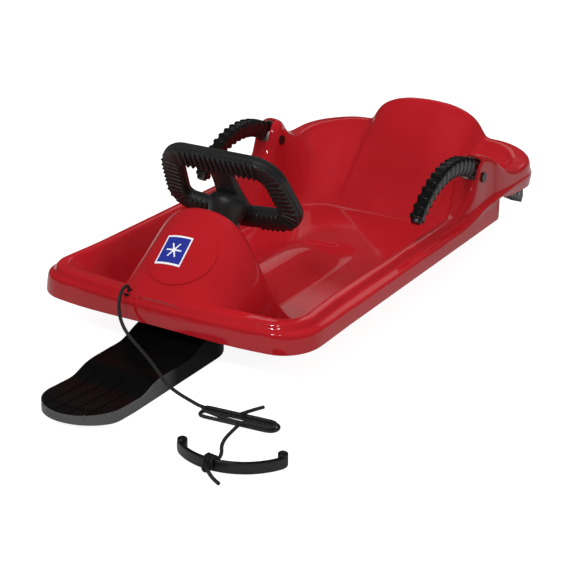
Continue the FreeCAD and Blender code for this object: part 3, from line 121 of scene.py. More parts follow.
def add_range(tree, value, low, high, to_low, to_high):
    """A value moved from one range to another."""
    node = tree.nodes.new("ShaderNodeMapRange")
    sockets = ("From Min", "From Max", "To Min", "To Max")
    for socket, number in zip(sockets, (low, high, to_low, to_high)):
        node.inputs[socket].default_value = number
    tree.links.new(value, node.inputs["Value"])
    return node.outputs["Result"]


def add_math(tree, operation, *values):
    """A calculation with sockets and plain numbers."""
    node = tree.nodes.new("ShaderNodeMath")
    node.operation = operation
    for socket, value in zip(node.inputs, values):
        if isinstance(value, (int, float)):
            socket.default_value = value
        else:
            tree.links.new(value, socket)
    return node.outputs["Value"]


def add_mix(tree, factor, first, second):
    """Two colours mixed by a value."""
    mix = tree.nodes.new("ShaderNodeMix")
    mix.data_type = "RGBA"
    mix.inputs["A"].default_value = (*first, 1)
    mix.inputs["B"].default_value = (*second, 1)
    tree.links.new(factor, mix.inputs["Factor"])
    return mix.outputs["Result"]


def add_bump(tree, shader, height, strength, distance):
    """Bump from a height value."""
    bump = tree.nodes.new("ShaderNodeBump")
    bump.inputs["Strength"].default_value = strength
    bump.inputs["Distance"].default_value = distance
    tree.links.new(height, bump.inputs["Height"])
    tree.links.new(bump.outputs["Normal"], shader.inputs["Normal"])


print("finish helpers ready")

# %% [markdown]
# Four of the plastics are black or red and one is natural white. Their numbers are the deepest and
# the palest pigment, the range of the gloss, and the size and strength of the skin. The ski gets one
# more step: its gloss is dulled, and the front of its upright edge is painted pale grey as painted
# light.

# %% Moulded plastics
DRIFT_SCALE = 6.0
DRIFT_SPREAD = (0.35, 0.65)
WEAR_SCALE = 38.0
WEAR_SPREAD = (0.3, 0.7)
SKIN_DEPTH = 0.001


def moulded(name, deep, pale, gloss, grain, grain_strength):
    """A moulded plastic: drifting pigment, uneven gloss and a fine skin."""
    material, tree, shader = new_finish(name, pale, sum(gloss) / 2)
    place = tree.nodes.new("ShaderNodeTexCoord").outputs["Object"]
    drift = add_range(tree, add_noise(tree, place, DRIFT_SCALE), *DRIFT_SPREAD, 0, 1)
    tree.links.new(add_mix(tree, drift, deep, pale), shader.inputs["Base Color"])
    wear = add_range(tree, add_noise(tree, place, WEAR_SCALE, 6.0), *WEAR_SPREAD, *gloss)
    tree.links.new(wear, shader.inputs["Roughness"])
    add_bump(tree, shader, add_noise(tree, place, grain, 2.0), grain_strength, SKIN_DEPTH)
    return material


SKI_SHINE = 0.06
# The ski's upright edge gets painted light: a pale grey at its front that fades out further back.
SKI_LIT_GREY = 0.10
SKI_HALF = 0.064
SKI_EDGE = 0.0008
SKI_ENDS = (at(0, -181, 0).y, at(0, 64, 0).y)
SKI_LIT_FADE = (at(0, -95, 0).y, at(0, -45, 0).y)


def paint_lit_edge(material):
    """Dulls a finish and paints the front of the ski's upright edge pale grey, as painted light."""
    tree = material.node_tree
    shader = tree.nodes["Principled BSDF"]
    shader.inputs["Specular IOR Level"].default_value = SKI_SHINE
    split = tree.nodes.new("ShaderNodeSeparateXYZ")
    tree.links.new(tree.nodes.new("ShaderNodeTexCoord").outputs["Object"], split.inputs["Vector"])
    across, along = split.outputs["X"], split.outputs["Y"]
    straight = add_math(tree, "MINIMUM", add_math(tree, "MAXIMUM", along, SKI_ENDS[0]), SKI_ENDS[1])
    past_end = add_math(tree, "SUBTRACT", along, straight)
    square = add_math(tree, "MULTIPLY", past_end, past_end)
    reach = add_math(tree, "SQRT", add_math(tree, "MULTIPLY_ADD", across, across, square))
    edge = add_range(tree, reach, SKI_HALF - 2 * SKI_EDGE, SKI_HALF - SKI_EDGE, 0, 1)
    lit_fade = add_range(tree, along, *SKI_LIT_FADE, 1, 0)
    painted_light = add_math(tree, "MULTIPLY", edge, lit_fade)
    black = shader.inputs["Base Color"].links[0].from_socket
    # Painted light: the front of the upright edge is mixed towards pale grey, as if lit.
    mixed = add_mix(tree, painted_light, grey(0), grey(SKI_LIT_GREY))
    tree.links.new(black, mixed.node.inputs["A"])
    tree.links.new(mixed, shader.inputs["Base Color"])


RED = moulded("red_moulding", (0.37, 0.008, 0.012), (0.43, 0.011, 0.017), (0.05, 0.11), 70.0, 0.04)
BLACK = moulded("black_moulding", grey(0.003), grey(0.006), (0.24, 0.36), 900.0, 0.15)
# The wheel's black is paler than the other blacks: painted light, in place of the lamps its gloss
# doesn't mirror.
WHEEL_LIT_BLACK = moulded("wheel_moulding", grey(0.010), grey(0.016), (0.34, 0.46), 900.0, 0.2)
SKI_BLACK = moulded("ski_moulding", grey(0.002), grey(0.004), (0.22, 0.34), 120.0, 0.05)
paint_lit_edge(SKI_BLACK)
NYLON = moulded("natural_nylon", (0.55, 0.54, 0.51), (0.62, 0.61, 0.58), (0.35, 0.45), 400.0, 0.1)
print("moulded finishes:", RED.name, BLACK.name, WHEEL_LIT_BLACK.name, SKI_BLACK.name, NYLON.name)

# %% [markdown]
# Plated steel shows on the bolt beside the wheel's hub and on the brake arms under the wing. It is
# metal all over, so what varies is only how cloudy the plating is, with fine lines from drawing.

# %% Steel
STEEL_DARK = (0.44, 0.44, 0.45)
STEEL_PALE = (0.66, 0.66, 0.67)
PLATING_SCALE = 120.0
PLATING_GLOSS = (0.2, 0.4)
DRAWN_LINES = (2500, 60, 60)
DRAWN_BUMP = (0.15, 0.0003)


def plated_steel():
    """Zinc-plated steel with cloudy plating and fine drawn lines."""
    material, tree, shader = new_finish("plated_steel", STEEL_PALE, 0.3, 1.0)
    coordinates = tree.nodes.new("ShaderNodeTexCoord").outputs["Object"]
    cloud = add_noise(tree, coordinates, PLATING_SCALE, 4.0)
    tree.links.new(add_mix(tree, cloud, STEEL_DARK, STEEL_PALE), shader.inputs["Base Color"])
    tree.links.new(add_range(tree, cloud, *WEAR_SPREAD, *PLATING_GLOSS), shader.inputs["Roughness"])
    stretch = tree.nodes.new("ShaderNodeMapping")
    stretch.inputs["Scale"].default_value = DRAWN_LINES
    tree.links.new(coordinates, stretch.inputs["Vector"])
    add_bump(tree, shader, add_noise(tree, stretch.outputs["Vector"], 1.0), *DRAWN_BUMP)
    return material


STEEL = plated_steel()
print("metal finish:", STEEL.name)

# %% [markdown]
# The tow rope is a thin braided cord. Its braid is two sets of strands that cross, so two slanted
# waves run along the cord's own UV map, one along the length and one round it, and the higher of the
# two stands out. Lengths and the diameter are in metres; the radius, for routes, is in millimetres.

# %% Braided cord finish
CORD_LENGTH = 1.17
LOOSE_LENGTH = 0.042
CORD_DIAMETER = 0.0054
CORD_RADIUS = CORD_DIAMETER * 500
BRAID_ACROSS = 6.0
BRAID_WAVE = 0.32
BRAID_UNEVEN = 0.4
BRAID_ROUGHNESS = (0.85, 0.55)
BRAID_BUMP = (0.8, 0.0006)
STRAND_DARK = (0.004, 0.004, 0.004)
STRAND_PALE = (0.020, 0.020, 0.022)


def braided_cord(name, length):
    """Black braid for a cord of a given length, read from the cord's UV map."""
    material, tree, shader = new_finish(name, STRAND_PALE, 0.7)
    uv = tree.nodes.new("ShaderNodeTexCoord").outputs["UV"]
    along = BRAID_ACROSS * length / (math.pi * CORD_DIAMETER)
    waves = []
    for slant in (1, -1):
        mapping = tree.nodes.new("ShaderNodeMapping")
        mapping.inputs["Scale"].default_value = (along, slant * BRAID_ACROSS, 1)
        tree.links.new(uv, mapping.inputs["Vector"])
        wave = tree.nodes.new("ShaderNodeTexWave")
        wave.wave_type = "BANDS"
        wave.bands_direction = "DIAGONAL"
        wave.inputs["Scale"].default_value = BRAID_WAVE
        wave.inputs["Distortion"].default_value = BRAID_UNEVEN
        tree.links.new(mapping.outputs["Vector"], wave.inputs["Vector"])
        waves.append(wave.outputs["Fac"])
    strands = add_math(tree, "MAXIMUM", *waves)
    tree.links.new(add_mix(tree, strands, STRAND_DARK, STRAND_PALE), shader.inputs["Base Color"])
    tree.links.new(add_range(tree, strands, 0, 1, *BRAID_ROUGHNESS), shader.inputs["Roughness"])
    add_bump(tree, shader, strands, *BRAID_BUMP)
    return material


BRAID = braided_cord("braided_cord", CORD_LENGTH)
print("cord finish:", BRAID.name)

# %% [markdown]
# The tow rope is one cord from the knot under the rim to the bar. It comes up out of its hole, bends
# over the front edge, hangs in front of the nose, crosses the ski and lies down in a hank of long
# loops. A NURBS spline of order 3 takes these points as its control points, so it stays smooth.

# %% Tow rope route
ROPE_ROUTE = [
    (-57.0, 5.0, 98.1),
    (-57.0, 5.0, 118.0),
    (-55.0, -14.0, 119.0),
    (-53.5, -27.0, 105.0),
    (-51.0, -31.0, 88.0),
    (-45.0, -34.0, 72.0),
    (-30.0, -40.0, 59.0),
    (-5.0, -51.0, 51.0),
    (35.0, -74.0, 46.0),
    (72.0, -101.0, 43.0),
    (94.0, -113.0, 36.0),
    (110.0, -109.0, 25.0),
    (124.0, -99.0, 13.0),
]
LEAD_ROUTE = [
    (221.0, -141.0, 8.0), (222.0, -160.0, 5.6), (230.0, -180.0, 6.0), (242.0, -197.0, 7.5),
]
TAIL_ROUTE = [(257.5, -251.0, 5.6), (268.5, -257.5, 3.4), (279.5, -262.0, 2.8)]
LOOSE_ROUTE = [(210.0, -98.0, 14.4), (217.0, -80.0, 14.6), (223.0, -58.0, 11.5)]
BAR_HOLE_IN = (249.5, -215.0, 9.0)
BAR_HOLE_OUT = (246.3, -243.4, 9.0)
print("rope points outside the hank:", len(ROPE_ROUTE + LEAD_ROUTE + TAIL_ROUTE))

# %% [markdown]
# The spare rope is folded into a hank: long loops side by side on the floor that step inwards, climb,
# and step outwards again on top. Points placed by hand would be hard to change, so the tracks are
# counted off by their pitch, and each end of a loop is four points round a half circle.

# %% Hank
HANK_CENTRE = (205.0, -98.0)
HANK_TURN = math.radians(6.0)
HANK_HALF = 14.0
HANK_PITCH = 6.2
HANK_LENGTH = 132.0
HANK_LOW = 2.8
HANK_HIGH = 8.7
HANK_START = 16.2
HANK_EXIT = 24.0
HANK_EXIT_RADIUS = 12.0
HANK_EXIT_PAST = 4.0
HANK_RUN = 0.7
HANK_LAST_RUN = 0.8
HANK_CLIMB = (-0.3, -0.9)
HANK_EXIT_BEND = (0.6, 0.4)
TURN_ANGLES = (67.5, 22.5, -22.5, -67.5)


def hank_point(u, v, z):
    """Measured place of a point along and across the hank."""
    x = HANK_CENTRE[0] + u * math.cos(HANK_TURN) - v * math.sin(HANK_TURN)
    run = HANK_CENTRE[1] + u * math.sin(HANK_TURN) + v * math.cos(HANK_TURN)
    return (x, run, z)


def half_turn(u, v, v_next, way, z):
    """Control points of one end of a loop, a half circle between two tracks."""
    middle = (v + v_next) / 2
    side = 1 if v > middle else -1
    reach = abs(v_next - v) / 2 / math.cos(math.radians(TURN_ANGLES[1]))
    points = []
    for angle in TURN_ANGLES:
        turn = math.radians(angle)
        along, across = way * reach * math.cos(turn), side * reach * math.sin(turn)
        points.append(hank_point(u + along, middle + across, z))
    return points


def hank_route():
    """Control points of the hank: loops inwards on the floor, a climb, and outwards again on top."""
    end = HANK_LENGTH / 2 - HANK_HALF - CORD_RADIUS
    tracks = [HANK_HALF - HANK_PITCH / 2 * k for k in (0, 1, 2, 3, 2, 1)]
    points = [hank_point(-end - HANK_START, HANK_HALF, HANK_LOW)]
    for k, track in enumerate(tracks):
        way = 1 if k % 2 == 0 else -1
        v = way * track
        z = HANK_LOW if k < 3 else HANK_HIGH
        if k == 3:
            points.append(hank_point(end * HANK_RUN, v, HANK_LOW))
            points.append(hank_point(end * HANK_CLIMB[0], v, HANK_LOW))
            points.append(hank_point(end * HANK_CLIMB[1], v, HANK_HIGH))
        elif k == len(tracks) - 1:
            bend = HANK_EXIT - HANK_EXIT_RADIUS
            points.append(hank_point(end * HANK_LAST_RUN, v, z))
            points.append(hank_point(HANK_EXIT - HANK_EXIT_RADIUS * HANK_EXIT_BEND[0], v, z))
            points.append(hank_point(bend, v - HANK_EXIT_RADIUS * HANK_EXIT_BEND[1], z))
            points.append(hank_point(bend, v - HANK_EXIT_RADIUS - HANK_EXIT_PAST, z))
        else:
            points.append(hank_point(-way * end * HANK_RUN, v, z))
            points.append(hank_point(way * end * HANK_RUN, v, z))
        if k < len(tracks) - 1:
            points += half_turn(way * end, v, -way * tracks[k + 1], way, z)
    return points


HANK_ROUTE = hank_route()
print("hank points:", len(HANK_ROUTE))

# %% [markdown]
# A curve with a round bevel is a cord, and while it stays a curve its length can be measured. One
# helper makes both cords: the rope from its knot through the hank to its tail, and the short end that
# stands out of the hank.

# %% Cords
CORD_ROUND = 4
CORD_STEPS = 6


def cord_curve(name, route, diameter, finish):
    """A round cord along a route, as one open NURBS spline."""
    curve = bpy.data.curves.new(name, "CURVE")
    curve.dimensions = "3D"
    curve.bevel_depth = diameter / 2
    curve.bevel_resolution = CORD_ROUND
    curve.resolution_u = CORD_STEPS
    curve.use_fill_caps = True
    spline = curve.splines.new("NURBS")
    spline.points.add(len(route) - 1)
    for point, place in zip(spline.points, route):
        point.co = (*at(*place), 1)
    spline.order_u = 3
    spline.use_endpoint_u = True
    curve.materials.append(finish)
    piece = bpy.data.objects.new(name, curve)
    bpy.context.scene.collection.objects.link(piece)
    return piece


route = ROPE_ROUTE + HANK_ROUTE + LEAD_ROUTE + [BAR_HOLE_IN, BAR_HOLE_OUT] + TAIL_ROUTE
tow_cord = cord_curve("tow_cord", route, CORD_DIAMETER, BRAID)
LOOSE_BRAID = braided_cord("braided_cord_end", LOOSE_LENGTH)
loose_cord = cord_curve("loose_cord_end", LOOSE_ROUTE, CORD_DIAMETER, LOOSE_BRAID)
print("rope points:", len(route))

# %% [markdown]
# Two knots hold the rope: one under the rim, and one in front of the bar. A tightened overhand knot
# looks like a few short wraps side by side with one across them, so each knot is a handful of cord
# rings round the rope's own direction, drawn in towards the ends.

# %% Knots
KNOT_RINGS = ((-0.42, 0.46, 8), (0.0, 0.60, -6), (0.42, 0.46, 10), (0.0, 0.58, 62))
KNOT_THICK = 0.36


def add_ring(build, turn, radius, thick, around=28, section=10):
    """A closed ring of cord."""
    rows = []
    for i in range(around):
        a = 2 * math.pi * i / around
        row = []
        for j in range(section):
            b = 2 * math.pi * j / section
            r = radius + thick * math.cos(b)
            place = Vector((r * math.cos(a), r * math.sin(a), thick * math.sin(b)))
            row.append(build.verts.new(turn @ place))
        rows.append(row)
    for i, row in enumerate(rows):
        following = rows[(i + 1) % around]
        for j in range(section):
            k = (j + 1) % section
            build.faces.new((row[j], following[j], following[k], row[k]))


def knot_piece(name, node, along):
    """Wraps of cord in the space of a knot's node, round a given direction."""
    low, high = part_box(node)
    centre = (low + high) / 2
    reach = min(high - low) / 2
    thick = reach * KNOT_THICK
    turn = along.to_track_quat("Z", "Y").to_matrix().to_4x4()
    build = bmesh.new()
    for offset, radius, lean in KNOT_RINGS:
        place = Matrix.Translation(centre) @ turn @ Matrix.Translation((0, 0, offset * reach))
        leaning = place @ Matrix.Rotation(math.radians(lean), 4, "X")
        add_ring(build, leaning, radius * reach, thick)
    mesh = bpy.data.meshes.new(name)
    build.to_mesh(mesh)
    build.free()
    mesh.materials.append(KNOT_CORD)
    for face in mesh.polygons:
        face.use_smooth = True
    piece = bpy.data.objects.new(name, mesh)
    bpy.context.scene.collection.objects.link(piece)
    return piece


KNOT_CORD = moulded("knot_cord", grey(0.005), grey(0.018), (0.6, 0.85), 1400.0, 0.6)
rim_knot = knot_piece("rim_knot", "rope_knot", Vector((0, 0, 1)))
bar_knot = knot_piece("front_knot", "bar_knot", Vector((0.1, 1, 0.0)))

# %% [markdown]
# The wheel is a rounded trapezoid with one spoke, and it leans back towards the rider. Its middle line
# comes first: the corners of a polygon rounded by arcs, and at each point the direction outwards.

# %% Wheel outline
WHEEL_TILT = math.radians(30.0)
WHEEL_UP = Vector((0, -math.sin(WHEEL_TILT), math.cos(WHEEL_TILT)))
WHEEL_BACK = Vector((0, math.cos(WHEEL_TILT), math.sin(WHEEL_TILT)))
WHEEL_FOOT = at(0, 219.5, 165.8)
WHEEL_OUTLINE = [(0, -18), (131, 0), (107, 144), (-107, 144), (-131, 0)]
WHEEL_CORNERS = [92.0, 46.0, 52.0, 52.0, 46.0]
LIMB = 37.0
CORNER_STEPS = 10


def wheel_at(x, up, back):
    """Scene point in the wheel's own plane, from millimetres across, up and back."""
    return WHEEL_FOOT + (Vector((x, 0, 0)) + WHEEL_UP * up + WHEEL_BACK * back) / 1000


def rounded_loop(points, radii, inset, steps):
    """Points, with their outward directions, along a rounded polygon moved inwards."""
    loop = []
    count = len(points)
    for k in range(count):
        here = Vector(points[k])
        to_before = (Vector(points[k - 1]) - here).normalized()
        to_after = (Vector(points[(k + 1) % count]) - here).normalized()
        half = to_before.angle(to_after) / 2
        inwards = (to_before + to_after).normalized()
        centre = here + inwards * (radii[k] / math.sin(half))
        start = Vector((to_before.y, -to_before.x))
        end = Vector((-to_after.y, to_after.x))
        first = math.atan2(-start.y, -start.x)
        sweep = math.pi - 2 * half
        for i in range(steps + 1):
            angle = first + sweep * i / steps
            out = Vector((math.cos(angle), math.sin(angle)))
            loop.append((centre + out * (radii[k] - inset), out))
    return loop


limb_loop = rounded_loop(WHEEL_OUTLINE, WHEEL_CORNERS, LIMB / 2, CORNER_STEPS)
print("limb stations:", len(limb_loop))

# %% [markdown]
# The back of the limb is full and smooth for the palms, and its front half is a narrower core that
# ribs stand across. One section swept round the outline makes both; loop cuts and bevels by hand would
# do it too, but wouldn't follow a new size. Low by the hub the front is closed by a smooth cover.

# %% Wheel limb
CORE_SHARE = 0.86
LIMB_HALF_SECTION = [
    (0.0, 3.6), (0.84, 3.6), (0.95, 4.2), (1.0, 5.6), (1.0, 9.6), (1.03, 10.4), (1.11, 10.8),
    (1.15, 11.6), (1.17, 14.5), (1.15, 19.0), (1.02, 23.2), (0.72, 26.2), (0.36, 27.2), (0.0, 27.4),
]
CORE_HALF = LIMB / 2 * CORE_SHARE
LIMB_SECTION = [(share * CORE_HALF, back) for share, back in LIMB_HALF_SECTION]
LIMB_SECTION += [(-share * CORE_HALF, back) for share, back in LIMB_HALF_SECTION[-2:0:-1]]


def sweep(build, stations, section, closed):
    """A section swept along stations of (point, out) in the wheel's plane."""
    rows = []
    for point, out in stations:
        row = []
        for outward, back in section:
            place = point + out * outward
            row.append(build.verts.new(wheel_at(place.x, place.y, back)))
        rows.append(row)
    size = len(section)
    spans = len(rows) if closed else len(rows) - 1
    for i in range(spans):
        following = rows[(i + 1) % len(rows)]
        for j in range(size):
            k = (j + 1) % size
            build.faces.new((rows[i][j], rows[i][k], following[k], following[j]))
    if not closed:
        build.faces.new(rows[0])
        build.faces.new(rows[-1][::-1])


LOW_LIMB_TOP = 22.0
LOW_SECTION = [
    (0.0, -1.0), (6.0, -0.4), (11.0, 1.6), (15.0, 5.0), (17.4, 9.0), (18.2, 13.0),
    (-18.2, 13.0), (-17.4, 9.0), (-15.0, 5.0), (-11.0, 1.6), (-6.0, -0.4),
]
wheel_build = bmesh.new()
sweep(wheel_build, limb_loop, LIMB_SECTION, True)
low_corners = limb_loop[-(CORNER_STEPS + 1):] + limb_loop[:2 * (CORNER_STEPS + 1)]
low_part = [(place, out) for place, out in low_corners if place.y < LOW_LIMB_TOP]
sweep(wheel_build, low_part, LOW_SECTION, False)
print("stations under the smooth cover:", len(low_part))

# %% [markdown]
# The spoke widens downwards and runs into a hub that stands forwards on the steering shaft. The hub
# is a funnel: broad where the spoke and the low limb meet it, slim where it reaches the nose. A
# turned post drawn as rings gives that form, and a short cross post seats the bolt.

# %% Wheel spoke and hub
STEER_AXIS = Vector((0, 0.5, math.sqrt(0.75)))
HUB_POINT = at(0, 182, 178)
HUB_RINGS = [
    (-27.7, 21.5), (-26.2, 23), (-14, 24), (0, 26), (12, 29), (22, 32),
    (29, 33.5), (35, 32.5), (40, 29), (43.5, 23), (45.5, 15), (46, 6),
]
SEAT_RINGS = [(0, 6.2), (0.8, 7), (49.2, 7), (50, 6.2)]
SEAT_DROP = 0.004
SEAT_SIDES = 24
SPOKE_WIDTHS = [
    (112, 21), (104, 19), (90, 18.5), (70, 20), (50, 23), (30, 28), (10, 33), (-8, 35),
]
SPOKE_EDGE = [(-4, 2), (-1.2, 3.2), (0, 6), (0, 14), (-1.2, 16.8), (-4, 18)]


def add_skin(build, rows):
    """Faces between rings of points, with both ends closed."""
    rings = [[build.verts.new(place) for place in row] for row in rows]
    for first, second in zip(rings, rings[1:]):
        for i in range(len(first)):
            j = (i + 1) % len(first)
            build.faces.new((first[i], first[j], second[j], second[i]))
    build.faces.new(rings[0][::-1])
    build.faces.new(rings[-1])


def add_post(build, base, axis, rings, sides=48):
    """A turned post: (distance along, radius) rings joined and closed."""
    turn = axis.to_track_quat("Z", "Y").to_matrix()
    rows = []
    for along, radius in rings:
        row = []
        for i in range(sides):
            angle = 2 * math.pi * i / sides
            place = Vector((radius * math.cos(angle), radius * math.sin(angle), along)) / 1000
            row.append(base + turn @ place)
        rows.append(row)
    add_skin(build, rows)


def add_spoke(build):
    """The spoke from the top limb to the hub, widening downwards, with rounded sides."""
    rows = []
    for up, half in SPOKE_WIDTHS:
        row = [wheel_at(half + step, up, back) for step, back in SPOKE_EDGE]
        row += [wheel_at(-half - step, up, back) for step, back in reversed(SPOKE_EDGE)]
        rows.append(row)
    add_skin(build, rows)


add_spoke(wheel_build)
add_post(wheel_build, HUB_POINT, STEER_AXIS, HUB_RINGS)
seat_base = HUB_POINT - STEER_AXIS * SEAT_DROP - Vector((SEAT_RINGS[-1][0] / 2000, 0, 0))
add_post(wheel_build, seat_base, Vector((1, 0, 0)), SEAT_RINGS, SEAT_SIDES)


CREASE = 40
SOFT_CREASE = 50


def finish_mesh(build, name, material, angle=CREASE):
    """Turns a build into a smooth piece with its normals outwards."""
    bmesh.ops.recalc_face_normals(build, faces=build.faces)
    mesh = bpy.data.meshes.new(name)
    build.to_mesh(mesh)
    build.free()
    mesh.materials.append(material)
    mesh.shade_smooth()
    mesh.set_sharp_from_angle(angle=math.radians(angle))
    piece = bpy.data.objects.new(name, mesh)
    bpy.context.scene.collection.objects.link(piece)
    return piece


wheel = finish_mesh(wheel_build, "wheel_moulding", WHEEL_LIT_BLACK)
print("wheel faces:", len(wheel.data.polygons))

# %% [markdown]
# The same kind of rib repeats across the wheel's channel and along both brake grips, so Geometry
# Nodes place them. The tree puts a rounded plate on every point, sized and turned by the point's own
# attributes, realizes the plates and gives them their finish.

# %% Rib tree
def rib_tree():
    """Node tree that stands a rounded plate on every point, sized and turned by its attributes."""
    tree = bpy.data.node_groups.new("rib_row", "GeometryNodeTree")
    tree.interface.new_socket("Points", in_out="INPUT", socket_type="NodeSocketGeometry")
    for name, value in (("Roundness", 0.55), ("Scale", 1.0)):
        socket = tree.interface.new_socket(name, in_out="INPUT", socket_type="NodeSocketFloat")
        socket.default_value = value
    tree.interface.new_socket("Finish", in_out="INPUT", socket_type="NodeSocketMaterial")
    tree.interface.new_socket("Ribs", in_out="OUTPUT", socket_type="NodeSocketGeometry")
    add = tree.nodes.new
    given = add("NodeGroupInput")
    plate = add("GeometryNodeMeshCube")
    round_off = add("GeometryNodeSubdivisionSurface")
    round_off.inputs["Level"].default_value = 2
    size = add("GeometryNodeInputNamedAttribute")
    size.data_type = "FLOAT_VECTOR"
    size.inputs["Name"].default_value = "rib_size"
    turn = add("GeometryNodeInputNamedAttribute")
    turn.data_type = "FLOAT_VECTOR"
    turn.inputs["Name"].default_value = "rib_turn"
    to_turn = add("FunctionNodeEulerToRotation")
    scale = add("ShaderNodeVectorMath")
    scale.operation = "SCALE"
    stand = add("GeometryNodeInstanceOnPoints")
    realize = add("GeometryNodeRealizeInstances")
    finish = add("GeometryNodeSetMaterial")
    smooth = add("GeometryNodeSetShadeSmooth")
    result = add("NodeGroupOutput")
    link = tree.links.new
    link(plate.outputs["Mesh"], round_off.inputs["Mesh"])
    link(given.outputs["Roundness"], round_off.inputs["Edge Crease"])
    link(given.outputs["Points"], stand.inputs["Points"])
    link(round_off.outputs["Mesh"], stand.inputs["Instance"])
    link(turn.outputs["Attribute"], to_turn.inputs["Euler"])
    link(to_turn.outputs["Rotation"], stand.inputs["Rotation"])
    link(size.outputs["Attribute"], scale.inputs[0])
    link(given.outputs["Scale"], scale.inputs["Scale"])
    link(scale.outputs["Vector"], stand.inputs["Scale"])
    link(stand.outputs["Instances"], realize.inputs["Geometry"])
    link(realize.outputs["Geometry"], smooth.inputs["Geometry"])
    link(smooth.outputs["Geometry"], finish.inputs["Geometry"])
    link(given.outputs["Finish"], finish.inputs["Material"])
    link(finish.outputs["Geometry"], result.inputs["Ribs"])
    return tree


RIB_TREE = rib_tree()
print("rib tree nodes:", len(RIB_TREE.nodes))

# %% [markdown]
# A row of ribs starts as loose points that carry each rib's size and turn. The modifier's inputs are
# set by the sockets' identifiers before the first evaluation, and the result is kept as a plain mesh,
# because an export drops instances.

# %% Rib rows
RIB_SCALE = 1.0


def rib_row(name, ribs, finish, roundness):
    """Ribs given as (centre, size, axes) made into one plain mesh by the tree."""
    points = bpy.data.meshes.new(name + "_points")
    points.from_pydata([centre for centre, size, axes in ribs], [], [])
    sizes = points.attributes.new("rib_size", "FLOAT_VECTOR", "POINT")
    turns = points.attributes.new("rib_turn", "FLOAT_VECTOR", "POINT")
    for k, (centre, size, axes) in enumerate(ribs):
        sizes.data[k].vector = size
        turns.data[k].vector = Matrix(axes).transposed().to_euler("XYZ")
    holder = bpy.data.objects.new(name + "_points", points)
    bpy.context.scene.collection.objects.link(holder)
    modifier = holder.modifiers.new("ribs", "NODES")
    modifier.node_group = RIB_TREE
    sockets = RIB_TREE.interface.items_tree
    names = {item.name: item.identifier for item in sockets if item.in_out == "INPUT"}
    modifier[names["Roundness"]] = roundness
    modifier[names["Scale"]] = RIB_SCALE
    modifier[names["Finish"]] = finish
    shape = holder.evaluated_get(bpy.context.evaluated_depsgraph_get())
    mesh = bpy.data.meshes.new_from_object(shape)
    bpy.data.objects.remove(holder)
    mesh.name = name
    piece = bpy.data.objects.new(name, mesh)
    bpy.context.scene.collection.objects.link(piece)
    return piece


print("rib rows ready")

# %% [markdown]
# The wheel's ribs stand across the limb at an even pitch all round the grip, so they fan out in the
# corners by themselves. Walking along the limb's own middle line finds their places; the low limb by
# the hub is smooth, so the walk leaves it out.

# %% Wheel ribs
RIB_PITCH = 9.4
RIB_THICK = 3.6
RIB_DEPTH = 11.5
RIB_LOWEST = 6.0
RIB_SHORTER = 2.4
RIB_ROUNDNESS = 0.8


def walk(loop, pitch):
    """Places and outward directions at an even pitch along a closed loop."""
    places = []
    left = 0.0
    for (a, out_a), (b, out_b) in zip(loop, loop[1:] + loop[:1]):
        length = (b - a).length
        while left < length:
            t = left / length
            places.append((a.lerp(b, t), out_a.lerp(out_b, t).normalized()))
            left += pitch
        left -= length
    return places


def wheel_ribs():
    """Ribs of the top limb, the corners and both side limbs."""
    ribs = []
    size = Vector((LIMB - RIB_SHORTER, RIB_THICK, RIB_DEPTH)) / 1000
    for place, out in walk(limb_loop, RIB_PITCH):
        if place.y < RIB_LOWEST:
            continue
        across = Vector((out.x, 0, 0)) + WHEEL_UP * out.y
        along = Vector((out.y, 0, 0)) - WHEEL_UP * out.x
        centre = wheel_at(place.x, place.y, RIB_DEPTH / 2)
        ribs.append((centre, size, (across, -along, WHEEL_BACK)))
    return ribs


wheel_rib_list = wheel_ribs()
wheel_rib_piece = rib_row("wheel_ribs", wheel_rib_list, WHEEL_LIT_BLACK, RIB_ROUNDNESS)
print("wheel ribs:", len(wheel_rib_list))

# %% [markdown]
# The brake grips and the tow bar are bows: a section swept along one arc. Three points that were
# measured on the bow give the arc, and a circle drawn out towards a square gives a section with soft
# corners, so both kinds of bow share these helpers.

# %% Bow helpers
def arc_centre(a, b, c):
    """Centre of the circle through three flat points."""
    (ax, ay), (bx, by), (cx, cy) = a, b, c
    d = 2 * (ax * (by - cy) + bx * (cy - ay) + cx * (ay - by))
    aa, bb, cc = ax * ax + ay * ay, bx * bx + by * by, cx * cx + cy * cy
    x = (aa * (by - cy) + bb * (cy - ay) + cc * (ay - by)) / d
    y = (aa * (cx - bx) + bb * (ax - cx) + cc * (bx - ax)) / d
    return x, y


def arc_station(arc, t):
    """Place and outward direction at a share of the arc through three flat points."""
    cx, cy = arc_centre(*arc)
    first = math.atan2(arc[0][1] - cy, arc[0][0] - cx)
    last = math.atan2(arc[2][1] - cy, arc[2][0] - cx)
    radius = math.hypot(arc[0][0] - cx, arc[0][1] - cy)
    angle = first + (last - first) * t
    out = (math.cos(angle), math.sin(angle))
    return (cx + radius * out[0], cy + radius * out[1]), out


def squared_ring(count, power):
    """Points of a circle of radius 1 that is drawn out towards a square."""
    ring = []
    for i in range(count):
        angle = 2 * math.pi * i / count
        c, s = math.cos(angle), math.sin(angle)
        ring.append((math.copysign(abs(c) ** power, c), math.copysign(abs(s) ** power, s)))
    return ring


print("bow helpers ready")

# %% [markdown]
# A brake grip is a bow that a gloved hand pulls up: deep where it leaves the shoulder, slim at its
# tip, with rounded ribs so that it doesn't slip. Its core is a rounded section swept along one arc,
# and the ribs are plates from the same tree that stand a little proud of it.

# %% Brake grips
GRIP_X = 214.0
GRIP_ARC = ((649.0, 177.0), (549.0, 197.0), (438.0, 138.0))
GRIP_DEPTH = (31.0, 16.0)
GRIP_WIDTH = 22.0
GRIP_RIBS = 13
GRIP_RIB_LENGTH = 9.0
GRIP_RIB_STAND = 1.5
GRIP_RIB_ROUNDNESS = 0.6
GRIP_RIB_SHIFT = (0.9, 0.5)
GRIP_STEPS = 40
GRIP_SIDES = 24
GRIP_SQUARE = 0.6
GRIP_TIP_START = 0.96
GRIP_TIP_LOSS = 0.25


